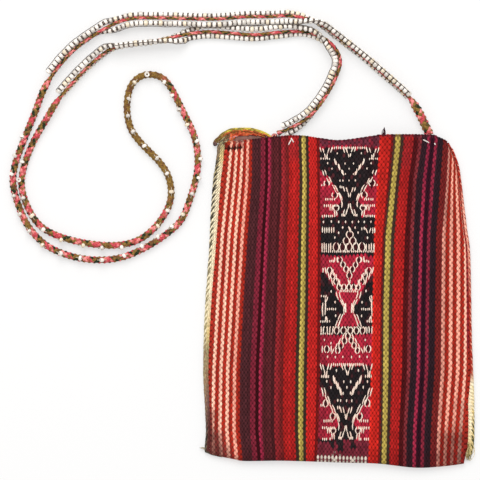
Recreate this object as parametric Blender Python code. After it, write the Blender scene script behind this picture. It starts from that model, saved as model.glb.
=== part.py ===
"""A small hand-woven medicine bag that lies flat with its long beaded strap laid out beside it.

The bag is one strip of warp-faced cloth folded at the bottom, sewn along both sides and open at the top.
Lengths are in metres. The origin is under the middle of the bag, on the surface it lies on; +Y points from
the fold to the mouth and +Z points up, out of the front of the bag.
"""
import math

import bmesh
import bpy
from mathutils import Vector

# Bag, in metres
BAG_WIDTH = 0.1843
BAG_HEIGHT = 0.2237
CLOTH_THICKNESS = 0.0016
SEAT_GAP = 0.0003
FOLD_RADIUS = 0.0033
CORNER_FOLD_RADIUS = 0.0019
BELLY_HEIGHT = 0.0155
SIDE_HEIGHT = 0.0038

# Side seams, in metres: the thickness of the overcast edge and its width at the mouth and at the fold
SEAM_THICKNESS = 0.0036
LEFT_SEAM_TOP_WIDTH = 0.0050
LEFT_SEAM_FOLD_WIDTH = 0.0032
RIGHT_SEAM_TOP_WIDTH = 0.0022
RIGHT_SEAM_FOLD_WIDTH = 0.0036

# Mouth edges, in metres
FRONT_EDGE_DIAMETER = 0.0026
BACK_EDGE_DIAMETER = 0.0024
CORNER_YARN_DIAMETER = 0.0034
BACK_MOUTH_DROP = 0.0051
CORNER_KNOT_DIAMETER = 0.0030
TUFT_LENGTH = 0.0052
TUFT_DIAMETER = 0.0022
TUFT_TIP_DIAMETER = 0.0006

# Strap, in metres
BRAID_DIAMETER = 0.0047
BAND_CORE_DIAMETER = 0.0026
BAND_TAPER = 0.006
BAND_LIFT_LENGTH = 0.012
BAND_LIFT_HOLD = 0.012
FLOOR_CLEARANCE = 0.0001
EDGE_BEAD_DIAMETER = 0.0034
EDGE_BEAD_NECK = 0.0020
EDGE_BEAD_PITCH = 0.0033
ROW_GAP = 0.0004
LOOP_BEAD_DIAMETER = 0.0035
LOOP_BEAD_LENGTH = 0.0036
LOOP_BEAD_NECK = 0.0007
LOOP_BEAD_PITCH = 0.0119
RIGHT_BRAID_LENGTH = 0.029
RIGHT_BAND_LENGTH = 0.277
LEFT_BAND_LENGTH = 0.282
BAND_END_CLEARANCE = 0.004
RIGHT_KNOT_DIAMETER = 0.0034
LEFT_KNOT_DIAMETER = 0.0044
KNOT_HEIGHT = 0.0036

# Sewing thread and loose yarn, in metres
STITCH_LENGTH = 0.0034
STITCH_DIAMETER = 0.0008
TAIL_LENGTH = 0.0030
TAIL_DIAMETER = 0.0020
TAIL_TIP_DIAMETER = 0.0006
FRAY_LENGTH = 0.0070
FRAY_DIAMETER = 0.0030
FRAY_TIP_DIAMETER = 0.0012

# The bag's outline as (across, up) shares of its width and height, from its middle
LEFT_EDGE_SHARES = ((-0.494, -0.462), (-0.489, -0.401), (-0.494, -0.310), (-0.499, -0.213), (-0.493, -0.036),
                    (-0.480, 0.116), (-0.470, 0.271), (-0.463, 0.353), (-0.452, 0.419), (-0.446, 0.471))
RIGHT_EDGE_SHARES = ((0.487, -0.490), (0.500, -0.432), (0.500, -0.310), (0.496, -0.219), (0.491, -0.097),
                     (0.485, 0.131), (0.474, 0.207), (0.463, 0.283), (0.452, 0.359), (0.443, 0.404),
                     (0.423, 0.450), (0.408, 0.473))
MOUTH_SHARES = ((-0.446, 0.471), (-0.363, 0.476), (-0.234, 0.488), (-0.142, 0.491), (-0.068, 0.483),
                (0.006, 0.477), (0.116, 0.489), (0.164, 0.494), (0.338, 0.494), (0.375, 0.486), (0.408, 0.473))
FOLD_SHARES = ((-0.494, -0.462), (-0.478, -0.474), (-0.389, -0.489), (-0.345, -0.495), (-0.216, -0.494),
               (-0.079, -0.497), (0.024, -0.500), (0.146, -0.503), (0.279, -0.515), (0.375, -0.512),
               (0.467, -0.502), (0.487, -0.490))
# The back of the mouth stands up past the front in an arch at the left corner
CORNER_ARCH_SHARES = ((-0.4395, 0.4859), (-0.4300, 0.4930), (-0.418, 0.4995), (-0.393, 0.5085), (-0.341, 0.5105),
                      (-0.312, 0.5080), (-0.272, 0.4980), (-0.2515, 0.4890))
LEFT_KNOT_SHARES = (-0.2365, 0.4905)
RIGHT_KNOT_SHARES = (0.3380, 0.4905)
CORNER_KNOT_SHARES = (-0.4485, 0.4797)
TUFT_SHARE = 0.166
LEFT_STITCH_SHARES = (-0.178, 0.470)
RIGHT_STITCH_SHARES = (0.330, 0.474)
TAIL_ROOT_SHARES = (-0.4935, -0.4560)
STITCH_TURN_SHARE = 0.12

# How the bag swells: (up, share of the belly's rise) and the roundness of its cross-section
SWELL_SHARES = ((0.0, 0.0), (0.05, 0.24), (0.14, 0.58), (0.30, 0.90), (0.50, 1.0), (0.80, 0.92), (1.0, 0.62))
SWELL_POWER = 2.6

# Mesh counts
COLUMNS = 22
FRONT_ROWS = 18
BACK_ROWS = 18
FOLD_STEPS = 5
ARCH_STATIONS = 26
COLUMN_ROUNDS = 3
ROUND_SIDES = 8
BEAD_SIDES = 6
STRAP_POINTS = 84
ROUTE_STEPS = 24
TIP_STATIONS = 4
BEND_WEIGHT = 0.018

# Strap route from the right corner of the mouth round the loop and back to the left: (x, y, lift off the rest)
STRAP_ROUTE = (
    (0.0617, 0.1113, 0.0000), (0.0517, 0.1312, 0.0000), (0.0459, 0.1384, 0.0000), (0.0258, 0.1560, 0.0000),
    (0.0136, 0.1665, 0.0000), (-0.0068, 0.1820, 0.0020), (-0.0145, 0.1875, 0.0030),
    (-0.0330, 0.1914, 0.0024), (-0.0500, 0.1910, 0.0000), (-0.0649, 0.1909, 0.0000),
    (-0.0835, 0.1892, 0.0036), (-0.1000, 0.1897, 0.0010), (-0.1185, 0.1900, 0.0000),
    (-0.1309, 0.1904, 0.0000), (-0.1421, 0.1894, 0.0000), (-0.1540, 0.1854, 0.0000),
    (-0.1765, 0.1712, 0.0000), (-0.1925, 0.1540, 0.0000), (-0.2009, 0.1401, 0.0000),
    (-0.2060, 0.1268, 0.0000), (-0.2166, 0.1000, 0.0000), (-0.2205, 0.0870, 0.0000),
    (-0.2205, 0.0734, 0.0000), (-0.2130, 0.0524, 0.0000), (-0.2027, 0.0393, 0.0000),
    (-0.1952, 0.0339, 0.0000), (-0.1853, 0.0295, 0.0000), (-0.1744, 0.0269, 0.0000),
    (-0.1622, 0.0259, 0.0000), (-0.1506, 0.0269, 0.0000), (-0.1397, 0.0303, 0.0000),
    (-0.1293, 0.0354, 0.0000), (-0.1193, 0.0418, 0.0000), (-0.1102, 0.0493, 0.0000),
    (-0.1044, 0.0578, 0.0000), (-0.0979, 0.0775, 0.0000), (-0.0957, 0.0891, 0.0000),
    (-0.0959, 0.0996, 0.0000), (-0.0977, 0.1088, 0.0000), (-0.1014, 0.1180, 0.0000),
    (-0.1115, 0.1380, 0.0000), (-0.1159, 0.1459, 0.0000), (-0.1214, 0.1504, 0.0000),
    (-0.1282, 0.1519, 0.0000), (-0.1348, 0.1504, 0.0000), (-0.1400, 0.1457, 0.0000),
    (-0.1427, 0.1394, 0.0000), (-0.1438, 0.1306, 0.0000), (-0.1429, 0.1210, 0.0000),
    (-0.1396, 0.1119, 0.0000), (-0.1336, 0.1047, 0.0000), (-0.1202, 0.0907, 0.0000),
    (-0.1158, 0.0830, 0.0000), (-0.1138, 0.0734, 0.0000), (-0.1147, 0.0646, 0.0000),
    (-0.1185, 0.0564, 0.0000), (-0.1242, 0.0487, 0.0000), (-0.1316, 0.0420, 0.0000),
    (-0.1414, 0.0374, 0.0000), (-0.1527, 0.0358, 0.0000), (-0.1642, 0.0363, 0.0000),
    (-0.1867, 0.0408, 0.0000), (-0.2027, 0.0492, 0.0000), (-0.2118, 0.0632, 0.0000),
    (-0.2154, 0.0772, 0.0000), (-0.2130, 0.0921, 0.0000), (-0.2067, 0.1074, 0.0000),
    (-0.1988, 0.1210, 0.0000), (-0.1903, 0.1346, 0.0000), (-0.1717, 0.1556, 0.0000),
    (-0.1564, 0.1678, 0.0000), (-0.1476, 0.1714, 0.0000), (-0.1248, 0.1744, 0.0000),
    (-0.0969, 0.1802, 0.0000), (-0.0800, 0.1806, 0.0000), (-0.0635, 0.1788, 0.0000),
    (-0.0495, 0.1793, 0.0000), (-0.0330, 0.1812, 0.0000), (-0.0221, 0.1806, 0.0000),
    (-0.0139, 0.1783, 0.0000), (-0.0074, 0.1746, 0.0000), (-0.0024, 0.1697, 0.0000),
    (0.0005, 0.1635, 0.0000), (0.0007, 0.1574, 0.0000), (-0.0050, 0.1431, 0.0000),
    (-0.0156, 0.1281, 0.0000), (-0.0221, 0.1217, 0.0000), (-0.0353, 0.1140, 0.0000),
    (-0.0414, 0.1118, 0.0000))

# How the two bead rows stand round the braid: (share of the run, degrees up from the left-hand side)
RIGHT_ROW_ONE_TURN_SHARES = ((0.0, 112.0), (0.266, 112.0), (0.368, 10.0), (0.78, 8.0), (0.85, -98.0), (1.0, -100.0))
RIGHT_ROW_TWO_TURN_SHARES = ((0.0, -80.0), (0.266, -80.0), (0.368, -130.0), (0.78, -132.0), (0.85, -205.0),
                             (1.0, -205.0))
LEFT_ROW_ONE_TURN_SHARES = ((0.0, 25.0), (0.159, 25.0), (0.187, 86.0), (0.267, 92.0), (0.304, 112.0),
                            (0.331, 150.0), (0.366, 225.0), (0.583, 228.0), (0.653, 245.0), (0.894, 262.0),
                            (1.0, 325.0))
LEFT_ROW_TWO_TURN_SHARES = ((0.0, -95.0), (0.267, -95.0), (0.331, -85.0), (0.366, -50.0), (0.399, 5.0),
                            (0.583, 8.0), (0.653, 50.0), (0.734, 158.0), (1.0, 158.0))


def clear_scene():
    """Empties the scene of every object."""
    for item in list(bpy.data.objects):
        bpy.data.objects.remove(item, do_unlink=True)


def finish(name, hex_colour, roughness):
    """One plain Principled finish from an sRGB hex colour."""
    channels = [int(hex_colour[i:i + 2], 16) / 255 for i in (1, 3, 5)]
    linear = [c / 12.92 if c <= 0.04045 else ((c + 0.055) / 1.055) ** 2.4 for c in channels]
    material = bpy.data.materials.new(name)
    material.use_nodes = True
    shader = material.node_tree.nodes["Principled BSDF"]
    shader.inputs["Base Color"].default_value = (*linear, 1.0)
    shader.inputs["Roughness"].default_value = roughness
    shader.inputs["Metallic"].default_value = 0.0
    return material


def table(pairs, at):
    """The value at a place in a table of (place, value), eased between its rows."""
    if at <= pairs[0][0]:
        return pairs[0][1]
    for (low, first), (high, last) in zip(pairs, pairs[1:]):
        if at <= high:
            part = (at - low) / (high - low)
            return first + (last - first) * part * part * (3 - 2 * part)
    return pairs[-1][1]


def smooth_line(points, steps):
    """A Catmull-Rom curve through the points, as closely spaced points."""
    ends = [points[0] * 2 - points[1], *points, points[-1] * 2 - points[-2]]
    line = []
    for a, b, c, d in zip(ends, ends[1:], ends[2:], ends[3:]):
        for step in range(steps):
            t = step / steps
            line.append(b + (c - a) * (t / 2) + (a * 2 - b * 5 + c * 4 - d) * (t * t / 2)
                        + (b * 3 - a - c * 3 + d) * (t ** 3 / 2))
    return [*line, points[-1]]


class Line:
    """A polyline that can be read at any distance along it."""

    def __init__(self, points):
        self.points = points
        self.marks = [0.0]
        for first, last in zip(points, points[1:]):
            self.marks.append(self.marks[-1] + (last - first).length)
        self.length = self.marks[-1]
        steps = [(last - first).normalized() for first, last in zip(points, points[1:])]
        self.headings = [steps[0], *[(a + b).normalized() for a, b in zip(steps, steps[1:])], steps[-1]]

    def span(self, distance):
        """The stretch that a distance falls in, and the share of it."""
        distance = min(max(distance, 0.0), self.length)
        low, high = 0, len(self.marks) - 1
        while high - low > 1:
            middle = (low + high) // 2
            if self.marks[middle] <= distance:
                low = middle
            else:
                high = middle
        return low, (distance - self.marks[low]) / (self.marks[high] - self.marks[low])

    def at(self, distance):
        """The point at a distance."""
        index, share = self.span(distance)
        return self.points[index].lerp(self.points[index + 1], share)

    def heading(self, distance):
        """The direction at a distance, turned evenly between the corners."""
        index, share = self.span(distance)
        return self.headings[index].lerp(self.headings[index + 1], share).normalized()

    def stations(self, count):
        """Evenly spaced distances along the line, both ends among them."""
        return [self.length * station / count for station in range(count + 1)]

    def level(self, across):
        """The y of the line where it passes a place on the x axis."""
        for first, last in zip(self.points, self.points[1:]):
            if first.x <= across <= last.x:
                return first.lerp(last, (across - first.x) / (last.x - first.x)).y
        return (self.points[0] if across < self.points[0].x else self.points[-1]).y

    def crossing(self, height):
        """The x of the line where it passes a place on the y axis."""
        for first, last in zip(self.points, self.points[1:]):
            if first.y <= height <= last.y:
                return first.lerp(last, (height - first.y) / (last.y - first.y)).x
        return (self.points[0] if height < self.points[0].y else self.points[-1]).x

    def beside(self, reach):
        """The line moved to its left by a reach."""
        return Line([point + across_line(heading) * reach
                     for point, heading in zip(self.points, self.headings)])

    def lowered(self, reach):
        """The line moved towards the fold by a reach."""
        return Line([point - Vector((0.0, reach, 0.0)) for point in self.points])

    def between(self, low, high):
        """The stretch of the line between two places on the x axis."""
        return Line([point for point in self.points if low <= point.x <= high])


def place(shares):
    """A point of the plan from its shares of the bag."""
    return Vector((shares[0] * BAG_WIDTH, shares[1] * BAG_HEIGHT, 0.0))


def outline(shares):
    """A smooth line through points of the plan."""
    return Line(smooth_line([place(pair) for pair in shares], ROUTE_STEPS))


def build_object(name, material, vertices, faces):
    """One smooth-shaded object from its points and faces, its faces pointing out."""
    mesh = bpy.data.meshes.new(name)
    shape = bmesh.new()
    corners = [shape.verts.new(point) for point in vertices]
    for face in faces:
        shape.faces.new([corners[index] for index in face])
    bmesh.ops.recalc_face_normals(shape, faces=shape.faces)
    shape.to_mesh(mesh)
    shape.free()
    mesh.materials.append(material)
    mesh.shade_smooth()
    mesh.set_sharp_from_angle(angle=math.radians(50))
    item = bpy.data.objects.new(name, mesh)
    bpy.context.scene.collection.objects.link(item)
    return item


def loft(name, material, rings):
    """A closed body through rings of equal count, with flat ends."""
    count = len(rings[0])
    vertices = [point for ring in rings for point in ring]
    faces = []
    for row in range(len(rings) - 1):
        for side in range(count):
            after = (side + 1) % count
            faces.append((row * count + side, row * count + after,
                          (row + 1) * count + after, (row + 1) * count + side))
    last = (len(rings) - 1) * count
    faces.append(tuple(range(count)))
    faces.append(tuple(last + side for side in reversed(range(count))))
    return build_object(name, material, vertices, faces)


def ring(centre, across, up, width, height, sides):
    """An ellipse of points round a centre."""
    turns = [2 * math.pi * side / sides for side in range(sides)]
    return [centre + across * (math.cos(turn) * width / 2) + up * (math.sin(turn) * height / 2) for turn in turns]


def across_line(heading):
    """The level direction to the left of a heading."""
    return Vector((-heading.y, heading.x, 0.0)).normalized()


def tube(name, material, line, marks, widths, height, sides=ROUND_SIDES):
    """An oval tube through marks along a line; widths gives its width at a share of the way."""
    rings = []
    for distance in marks:
        side = across_line(line.heading(distance))
        up = Vector((0.0, 0.0, 1.0))
        rings.append(ring(line.at(distance), side, up, widths(distance / line.length), height, sides))
    return loft(name, material, rings)


def sheet(name, material, outer, inner):
    """A closed body between two grids of points, outer and inner."""
    rows, columns = len(outer), len(outer[0])
    vertices = [point for grid in (outer, inner) for row in grid for point in row]
    depth = rows * columns
    faces = []
    for row in range(rows - 1):
        for column in range(columns - 1):
            corner = row * columns + column
            quad = (corner, corner + 1, corner + columns + 1, corner + columns)
            faces.append(quad)
            faces.append(tuple(depth + index for index in reversed(quad)))
    rim = [column for column in range(columns)]
    rim += [row * columns + columns - 1 for row in range(1, rows)]
    rim += [(rows - 1) * columns + column for column in reversed(range(columns - 1))]
    rim += [row * columns for row in reversed(range(1, rows - 1))]
    for first, last in zip(rim, rim[1:] + rim[:1]):
        faces.append((first, first + depth, last + depth, last))
    return build_object(name, material, vertices, faces)


def swell(across):
    """The share of the belly's rise at a share of the width."""
    return 1 - abs(2 * across - 1) ** SWELL_POWER


def left_seam_width(up):
    """The width of the left seam at a share of the height."""
    return LEFT_SEAM_FOLD_WIDTH + (LEFT_SEAM_TOP_WIDTH - LEFT_SEAM_FOLD_WIDTH) * up


def right_seam_width(up):
    """The width of the right seam at a share of the height."""
    return RIGHT_SEAM_FOLD_WIDTH + (RIGHT_SEAM_TOP_WIDTH - RIGHT_SEAM_FOLD_WIDTH) * up


def fold_radius(across):
    """The outer radius of the turned bottom at a share of the width."""
    return CORNER_FOLD_RADIUS + (FOLD_RADIUS - CORNER_FOLD_RADIUS) * swell(across)


def seam_inside(edge, width, way):
    """The line just inside the seam that runs up one side of the bag."""
    points = []
    for point, heading, mark in zip(edge.points, edge.headings, edge.marks):
        points.append(point - across_line(heading) * (width(mark / edge.length) + SEAT_GAP) * way)
    return Line(points)


class Plan:
    """The bag's plan: a patch between its four edges, inside the seams."""

    def __init__(self, mouth):
        self.left = outline(LEFT_EDGE_SHARES)
        self.right = outline(RIGHT_EDGE_SHARES)
        self.left_inside = seam_inside(self.left, left_seam_width, 1)
        self.right_inside = seam_inside(self.right, right_seam_width, -1)
        self.fold = outline(FOLD_SHARES)
        self.mouth = mouth

    def across(self, x):
        """The share of the mouth's width at a place on the x axis."""
        start = self.left_inside.points[-1].x
        return (x - start) / (self.right_inside.points[-1].x - start)

    def column(self, across, y):
        """The x of a share of the width at a place on the y axis."""
        left, right = self.left_inside.crossing(y), self.right_inside.crossing(y)
        return left + (right - left) * across

    def column_end(self, line, across, turned=0.0):
        """The y where a column of the patch meets the line at one end, set up by turned."""
        y = line.points[0].y
        for turn in range(COLUMN_ROUNDS):
            y = line.level(self.column(across, y)) + turned
        return y

    def point(self, across, up, turned=0.0):
        """The point of the patch at shares of its width and height; turned is how far the fold sets it up."""
        low = self.column_end(self.fold, across, turned)
        y = low + (self.column_end(self.mouth, across) - low) * up
        return Vector((self.column(across, y), y, 0.0))


def front_height(across, up):
    """The height of the front's outer face over the ground."""
    low = 2 * fold_radius(across)
    crest = low + (BELLY_HEIGHT - low) * table(SWELL_SHARES, up)
    edge = low + (SIDE_HEIGHT - low) * min(1.0, up / SWELL_SHARES[1][0])
    return edge + (crest - edge) * swell(across)


def front_grid(plan, depth):
    """The front of the bag at a depth below its outer face, from the fold to the mouth."""
    grid = []
    for row in range(FRONT_ROWS + 1):
        up = row / FRONT_ROWS
        points = []
        for column in range(COLUMNS + 1):
            across = column / COLUMNS
            point = plan.point(across, up, fold_radius(across) + SEAT_GAP)
            points.append(Vector((point.x, point.y, front_height(across, up) - depth)))
        grid.append(points)
    return grid


def back_grid(plan, depth):
    """The back of the bag at a depth inside its outer face, from the mouth down and round the fold."""
    grid = []
    for row in range(BACK_ROWS + 1):
        up = 1 - row / BACK_ROWS
        points = []
        for column in range(COLUMNS + 1):
            across = column / COLUMNS
            point = plan.point(across, up, fold_radius(across))
            points.append(Vector((point.x, point.y, depth)))
        grid.append(points)
    for step in range(1, FOLD_STEPS + 1):
        turn = math.pi * step / FOLD_STEPS
        points = []
        for column in range(COLUMNS + 1):
            across = column / COLUMNS
            radius = fold_radius(across)
            point = plan.point(across, 0.0, radius - math.sin(turn) * (radius - depth))
            points.append(Vector((point.x, point.y, radius - math.cos(turn) * (radius - depth))))
        grid.append(points)
    return grid


def back_mouth():
    """The back's top edge: up in the arch at the left corner, then under the front's."""
    arch = outline(CORNER_ARCH_SHARES).beside(-CORNER_YARN_DIAMETER / 2 - SEAT_GAP)
    start = place(LEFT_KNOT_SHARES).x + LEFT_KNOT_DIAMETER
    hidden = outline(MOUTH_SHARES).lowered(BACK_MOUTH_DROP + BACK_EDGE_DIAMETER)
    return Line([*arch.points, *hidden.between(start, hidden.points[-1].x).points])


def bag(cloth_front, cloth_back):
    """The two faces of the bag."""
    front = Plan(outline(MOUTH_SHARES).beside(-FRONT_EDGE_DIAMETER - SEAT_GAP))
    back = Plan(back_mouth())
    sheet("front_panel", cloth_front, front_grid(front, 0.0), front_grid(front, CLOTH_THICKNESS))
    sheet("back_panel", cloth_back, back_grid(back, 0.0), back_grid(back, CLOTH_THICKNESS))
    return front, back


def seam_middle(edge, width, way, distance):
    """The middle of a seam at a distance up its edge."""
    inward = across_line(edge.heading(distance)) * (width(distance / edge.length) / 2) * way
    return edge.at(distance) - inward + Vector((0.0, 0.0, SEAM_THICKNESS / 2 + FLOOR_CLEARANCE))


def seam(name, material, edge, width, way, start=0.0):
    """An overcast edge that holds the two faces together along one side, from a start up to the mouth."""
    rings = []
    for station in range(FRONT_ROWS + 1):
        distance = start + (edge.length - start) * station / FRONT_ROWS
        side = across_line(edge.heading(distance))
        spread = width(distance / edge.length)
        rings.append(ring(seam_middle(edge, width, way, distance), side, Vector((0.0, 0.0, 1.0)), spread,
                          SEAM_THICKNESS, ROUND_SIDES))
    return loft(name, material, rings)


def front_edge_point(plan, across):
    """The middle of the front's finishing edge at a share of the width."""
    point = plan.point(across, 1.0)
    point.y += FRONT_EDGE_DIAMETER / 2 + SEAT_GAP
    point.z = front_height(across, 1.0) - CLOTH_THICKNESS / 2
    return point


def mouth_edges(front_plan, back, dark_yarn, corner_yarn):
    """The finished edges of the mouth, front and back, and the yarn that binds the left corner."""
    inset = FRONT_EDGE_DIAMETER / BAG_WIDTH
    shares = [min(1 - inset, max(inset, column / COLUMNS)) for column in range(COLUMNS + 1)]
    front = Line([front_edge_point(front_plan, share) for share in shares])
    tube("front_mouth_edge", dark_yarn, front, front.marks, lambda share: FRONT_EDGE_DIAMETER, FRONT_EDGE_DIAMETER)
    rise = Vector((0.0, BACK_EDGE_DIAMETER / 2 + SEAT_GAP, BACK_EDGE_DIAMETER / 2 + FLOOR_CLEARANCE))
    start = place(LEFT_KNOT_SHARES).x + 2 * LEFT_KNOT_DIAMETER
    columns = [back.point(column / COLUMNS, 1.0) for column in range(COLUMNS)]
    hidden = Line([point + rise for point in columns if point.x > start])
    tube("back_mouth_edge", dark_yarn, hidden, hidden.marks, lambda share: BACK_EDGE_DIAMETER, BACK_EDGE_DIAMETER)
    height = Vector((0.0, 0.0, CORNER_YARN_DIAMETER / 2 + FLOOR_CLEARANCE))
    arch = Line([point + height for point in outline(CORNER_ARCH_SHARES).points])
    tube("left_corner_yarn", corner_yarn, arch, arch.stations(ARCH_STATIONS), lambda share: CORNER_YARN_DIAMETER,
         CORNER_YARN_DIAMETER)


def run_marks(length):
    """Where the beaded runs start and end along the strap."""
    right = (RIGHT_BRAID_LENGTH, RIGHT_BRAID_LENGTH + RIGHT_BAND_LENGTH)
    left = (length - LEFT_BAND_LENGTH, length - BAND_END_CLEARANCE)
    return right, left


def band_share(length, distance):
    """How much of the strap is narrow beaded band at a distance: 0 on the plain braid, 1 inside a run."""
    share = 0.0
    for low, high in run_marks(length):
        inside = min(distance - low, high - distance) / BAND_TAPER + 1
        share = max(share, min(1.0, max(0.0, inside)))
    return share


def row_reach():
    """The distance from the band's core to a bead row beside it."""
    return BAND_CORE_DIAMETER / 2 + ROW_GAP + EDGE_BEAD_DIAMETER / 2


def rest_height(length, distance):
    """The height of the strap's centre when its lowest bead or the braid touches the ground."""
    height = BRAID_DIAMETER / 2 + FLOOR_CLEARANCE
    right, left = run_marks(length)
    tables = ((right, (RIGHT_ROW_ONE_TURN_SHARES, RIGHT_ROW_TWO_TURN_SHARES)),
              (left, (LEFT_ROW_ONE_TURN_SHARES, LEFT_ROW_TWO_TURN_SHARES)))
    for (low, high), rows in tables:
        inside = min(distance - low, high - distance) + BAND_LIFT_HOLD
        ease = min(1.0, max(0.0, 1 + inside / BAND_LIFT_LENGTH))
        if ease > 0:
            nearby = [distance + BAND_LIFT_LENGTH * part / 2 for part in (-1, 0, 1)]
            along = [min(1.0, max(0.0, (place_along - low) / (high - low))) for place_along in nearby]
            drop = min(math.sin(math.radians(table(turns, share))) for turns in rows for share in along)
            needed = EDGE_BEAD_DIAMETER / 2 + FLOOR_CLEARANCE - row_reach() * drop
            height = max(height, height + (needed - height) * ease)
    return height


def strap_line():
    """The strap's centre line as a few dozen points, closer together where it bends."""
    fine = Line(smooth_line([Vector(point) for point in STRAP_ROUTE], ROUTE_STEPS))
    marks = [0.0]
    for index in range(1, len(fine.points)):
        turn = fine.headings[index].angle(fine.headings[index - 1], 0.0)
        marks.append(marks[-1] + fine.marks[index] - fine.marks[index - 1] + BEND_WEIGHT * turn)
    points = []
    index = 0
    for step in range(STRAP_POINTS):
        goal = marks[-1] * step / (STRAP_POINTS - 1)
        while index < len(marks) - 2 and marks[index + 1] < goal:
            index += 1
        share = (goal - marks[index]) / (marks[index + 1] - marks[index])
        point = fine.points[index].lerp(fine.points[index + 1], min(1.0, share))
        distance = fine.marks[index] + (fine.marks[index + 1] - fine.marks[index]) * min(1.0, share)
        point.z += rest_height(fine.length, distance)
        points.append(point)
    return Line(points)


def strap_braid(material, line):
    """The braided cord, narrow where bead rows run beside it."""
    data = bpy.data.curves.new("strap_braid", "CURVE")
    data.dimensions = "3D"
    data.bevel_depth = BRAID_DIAMETER / 2
    data.bevel_resolution = 2
    data.use_fill_caps = True
    spline = data.splines.new("POLY")
    spline.points.add(len(line.points) - 1)
    for index, point in enumerate(line.points):
        narrow = band_share(line.length, line.marks[index])
        spline.points[index].co = (*point, 1.0)
        spline.points[index].radius = 1 - (1 - BAND_CORE_DIAMETER / BRAID_DIAMETER) * narrow
    data.materials.append(material)
    item = bpy.data.objects.new("strap_braid", data)
    bpy.context.scene.collection.objects.link(item)


def ring_beside(line, distance, degrees, reach, diameter):
    """A small ring beside the strap, at an angle up from its left-hand side and a reach from its centre."""
    heading = line.heading(distance)
    left = across_line(heading)
    up = heading.cross(left)
    turn = math.radians(degrees)
    out = left * math.cos(turn) + up * math.sin(turn)
    return ring(line.at(distance) + out * reach, left, up, diameter, diameter, BEAD_SIDES)


def bead_row(name, material, line, run, turns):
    """A strung row of beads along one edge of a beaded run."""
    low, high = run
    count = int((high - low) / EDGE_BEAD_PITCH)
    rings = []
    for step in range(2 * count + 1):
        share = step / (2 * count)
        distance = low + (high - low) * share
        diameter = EDGE_BEAD_DIAMETER if step % 2 else EDGE_BEAD_NECK
        rings.append(ring_beside(line, distance, table(turns, share), row_reach(), diameter))
    return loft(name, material, rings)


def loop_beads(material, line):
    """Single beads strung on top of the plain braid, on a thread that lies along it."""
    right, left = run_marks(line.length)
    low = right[1] + BAND_TAPER
    high = left[0] - BAND_TAPER
    seat = BRAID_DIAMETER / 2 + ROW_GAP
    count = int((high - low) / LOOP_BEAD_PITCH)
    rings = []
    for bead in range(count):
        middle = low + (bead + 1 / 2) * (high - low) / count
        for offset, diameter in ((-LOOP_BEAD_LENGTH / 2, LOOP_BEAD_NECK), (0.0, LOOP_BEAD_DIAMETER),
                                 (LOOP_BEAD_LENGTH / 2, LOOP_BEAD_NECK)):
            rings.append(ring_beside(line, middle + offset, 90.0, seat + diameter / 2, diameter))
    return loft("loop_beads", material, rings)


def knot(name, material, shares, diameter, height):
    """A wrapped knot, a low round lump."""
    middle = place(shares) + Vector((0.0, 0.0, height / 2 + FLOOR_CLEARANCE))
    shape = bmesh.new()
    bmesh.ops.create_uvsphere(shape, u_segments=12, v_segments=8, radius=1 / 2)
    for vertex in shape.verts:
        vertex.co = middle + Vector((vertex.co.x * diameter, vertex.co.y * diameter, vertex.co.z * height))
    mesh = bpy.data.meshes.new(name)
    shape.to_mesh(mesh)
    shape.free()
    mesh.materials.append(material)
    mesh.shade_smooth()
    item = bpy.data.objects.new(name, mesh)
    bpy.context.scene.collection.objects.link(item)


def tip(name, material, root, way, sizes):
    """A short tapering end of yarn from its root along a way; sizes are its length and its two widths."""
    length, thick, thin = sizes
    heading = way.normalized()
    line = Line([root, root + heading * length])
    tube(name, material, line, line.stations(TIP_STATIONS), lambda share: thick + (thin - thick) * share, thin)


def stitch(name, material, plan, shares):
    """A short sewn thread that lies on the front of the bag near its mouth."""
    middle = place(shares)
    across = plan.across(middle.x)
    top = plan.point(across, 1.0).y
    bottom = plan.point(across, 0.0).y
    up = (middle.y - bottom) / (top - bottom)
    slope = STITCH_TURN_SHARE * STITCH_LENGTH
    high = front_height(across, min(1.0, up)) + STITCH_DIAMETER / 2 + 2 * SEAT_GAP
    line = Line([Vector((middle.x - STITCH_LENGTH / 2, middle.y - slope, high)),
                 Vector((middle.x + STITCH_LENGTH / 2, middle.y + slope, high))])
    tube(name, material, line, line.stations(TIP_STATIONS), lambda share: STITCH_DIAMETER, STITCH_DIAMETER,
         BEAD_SIDES)


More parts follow.
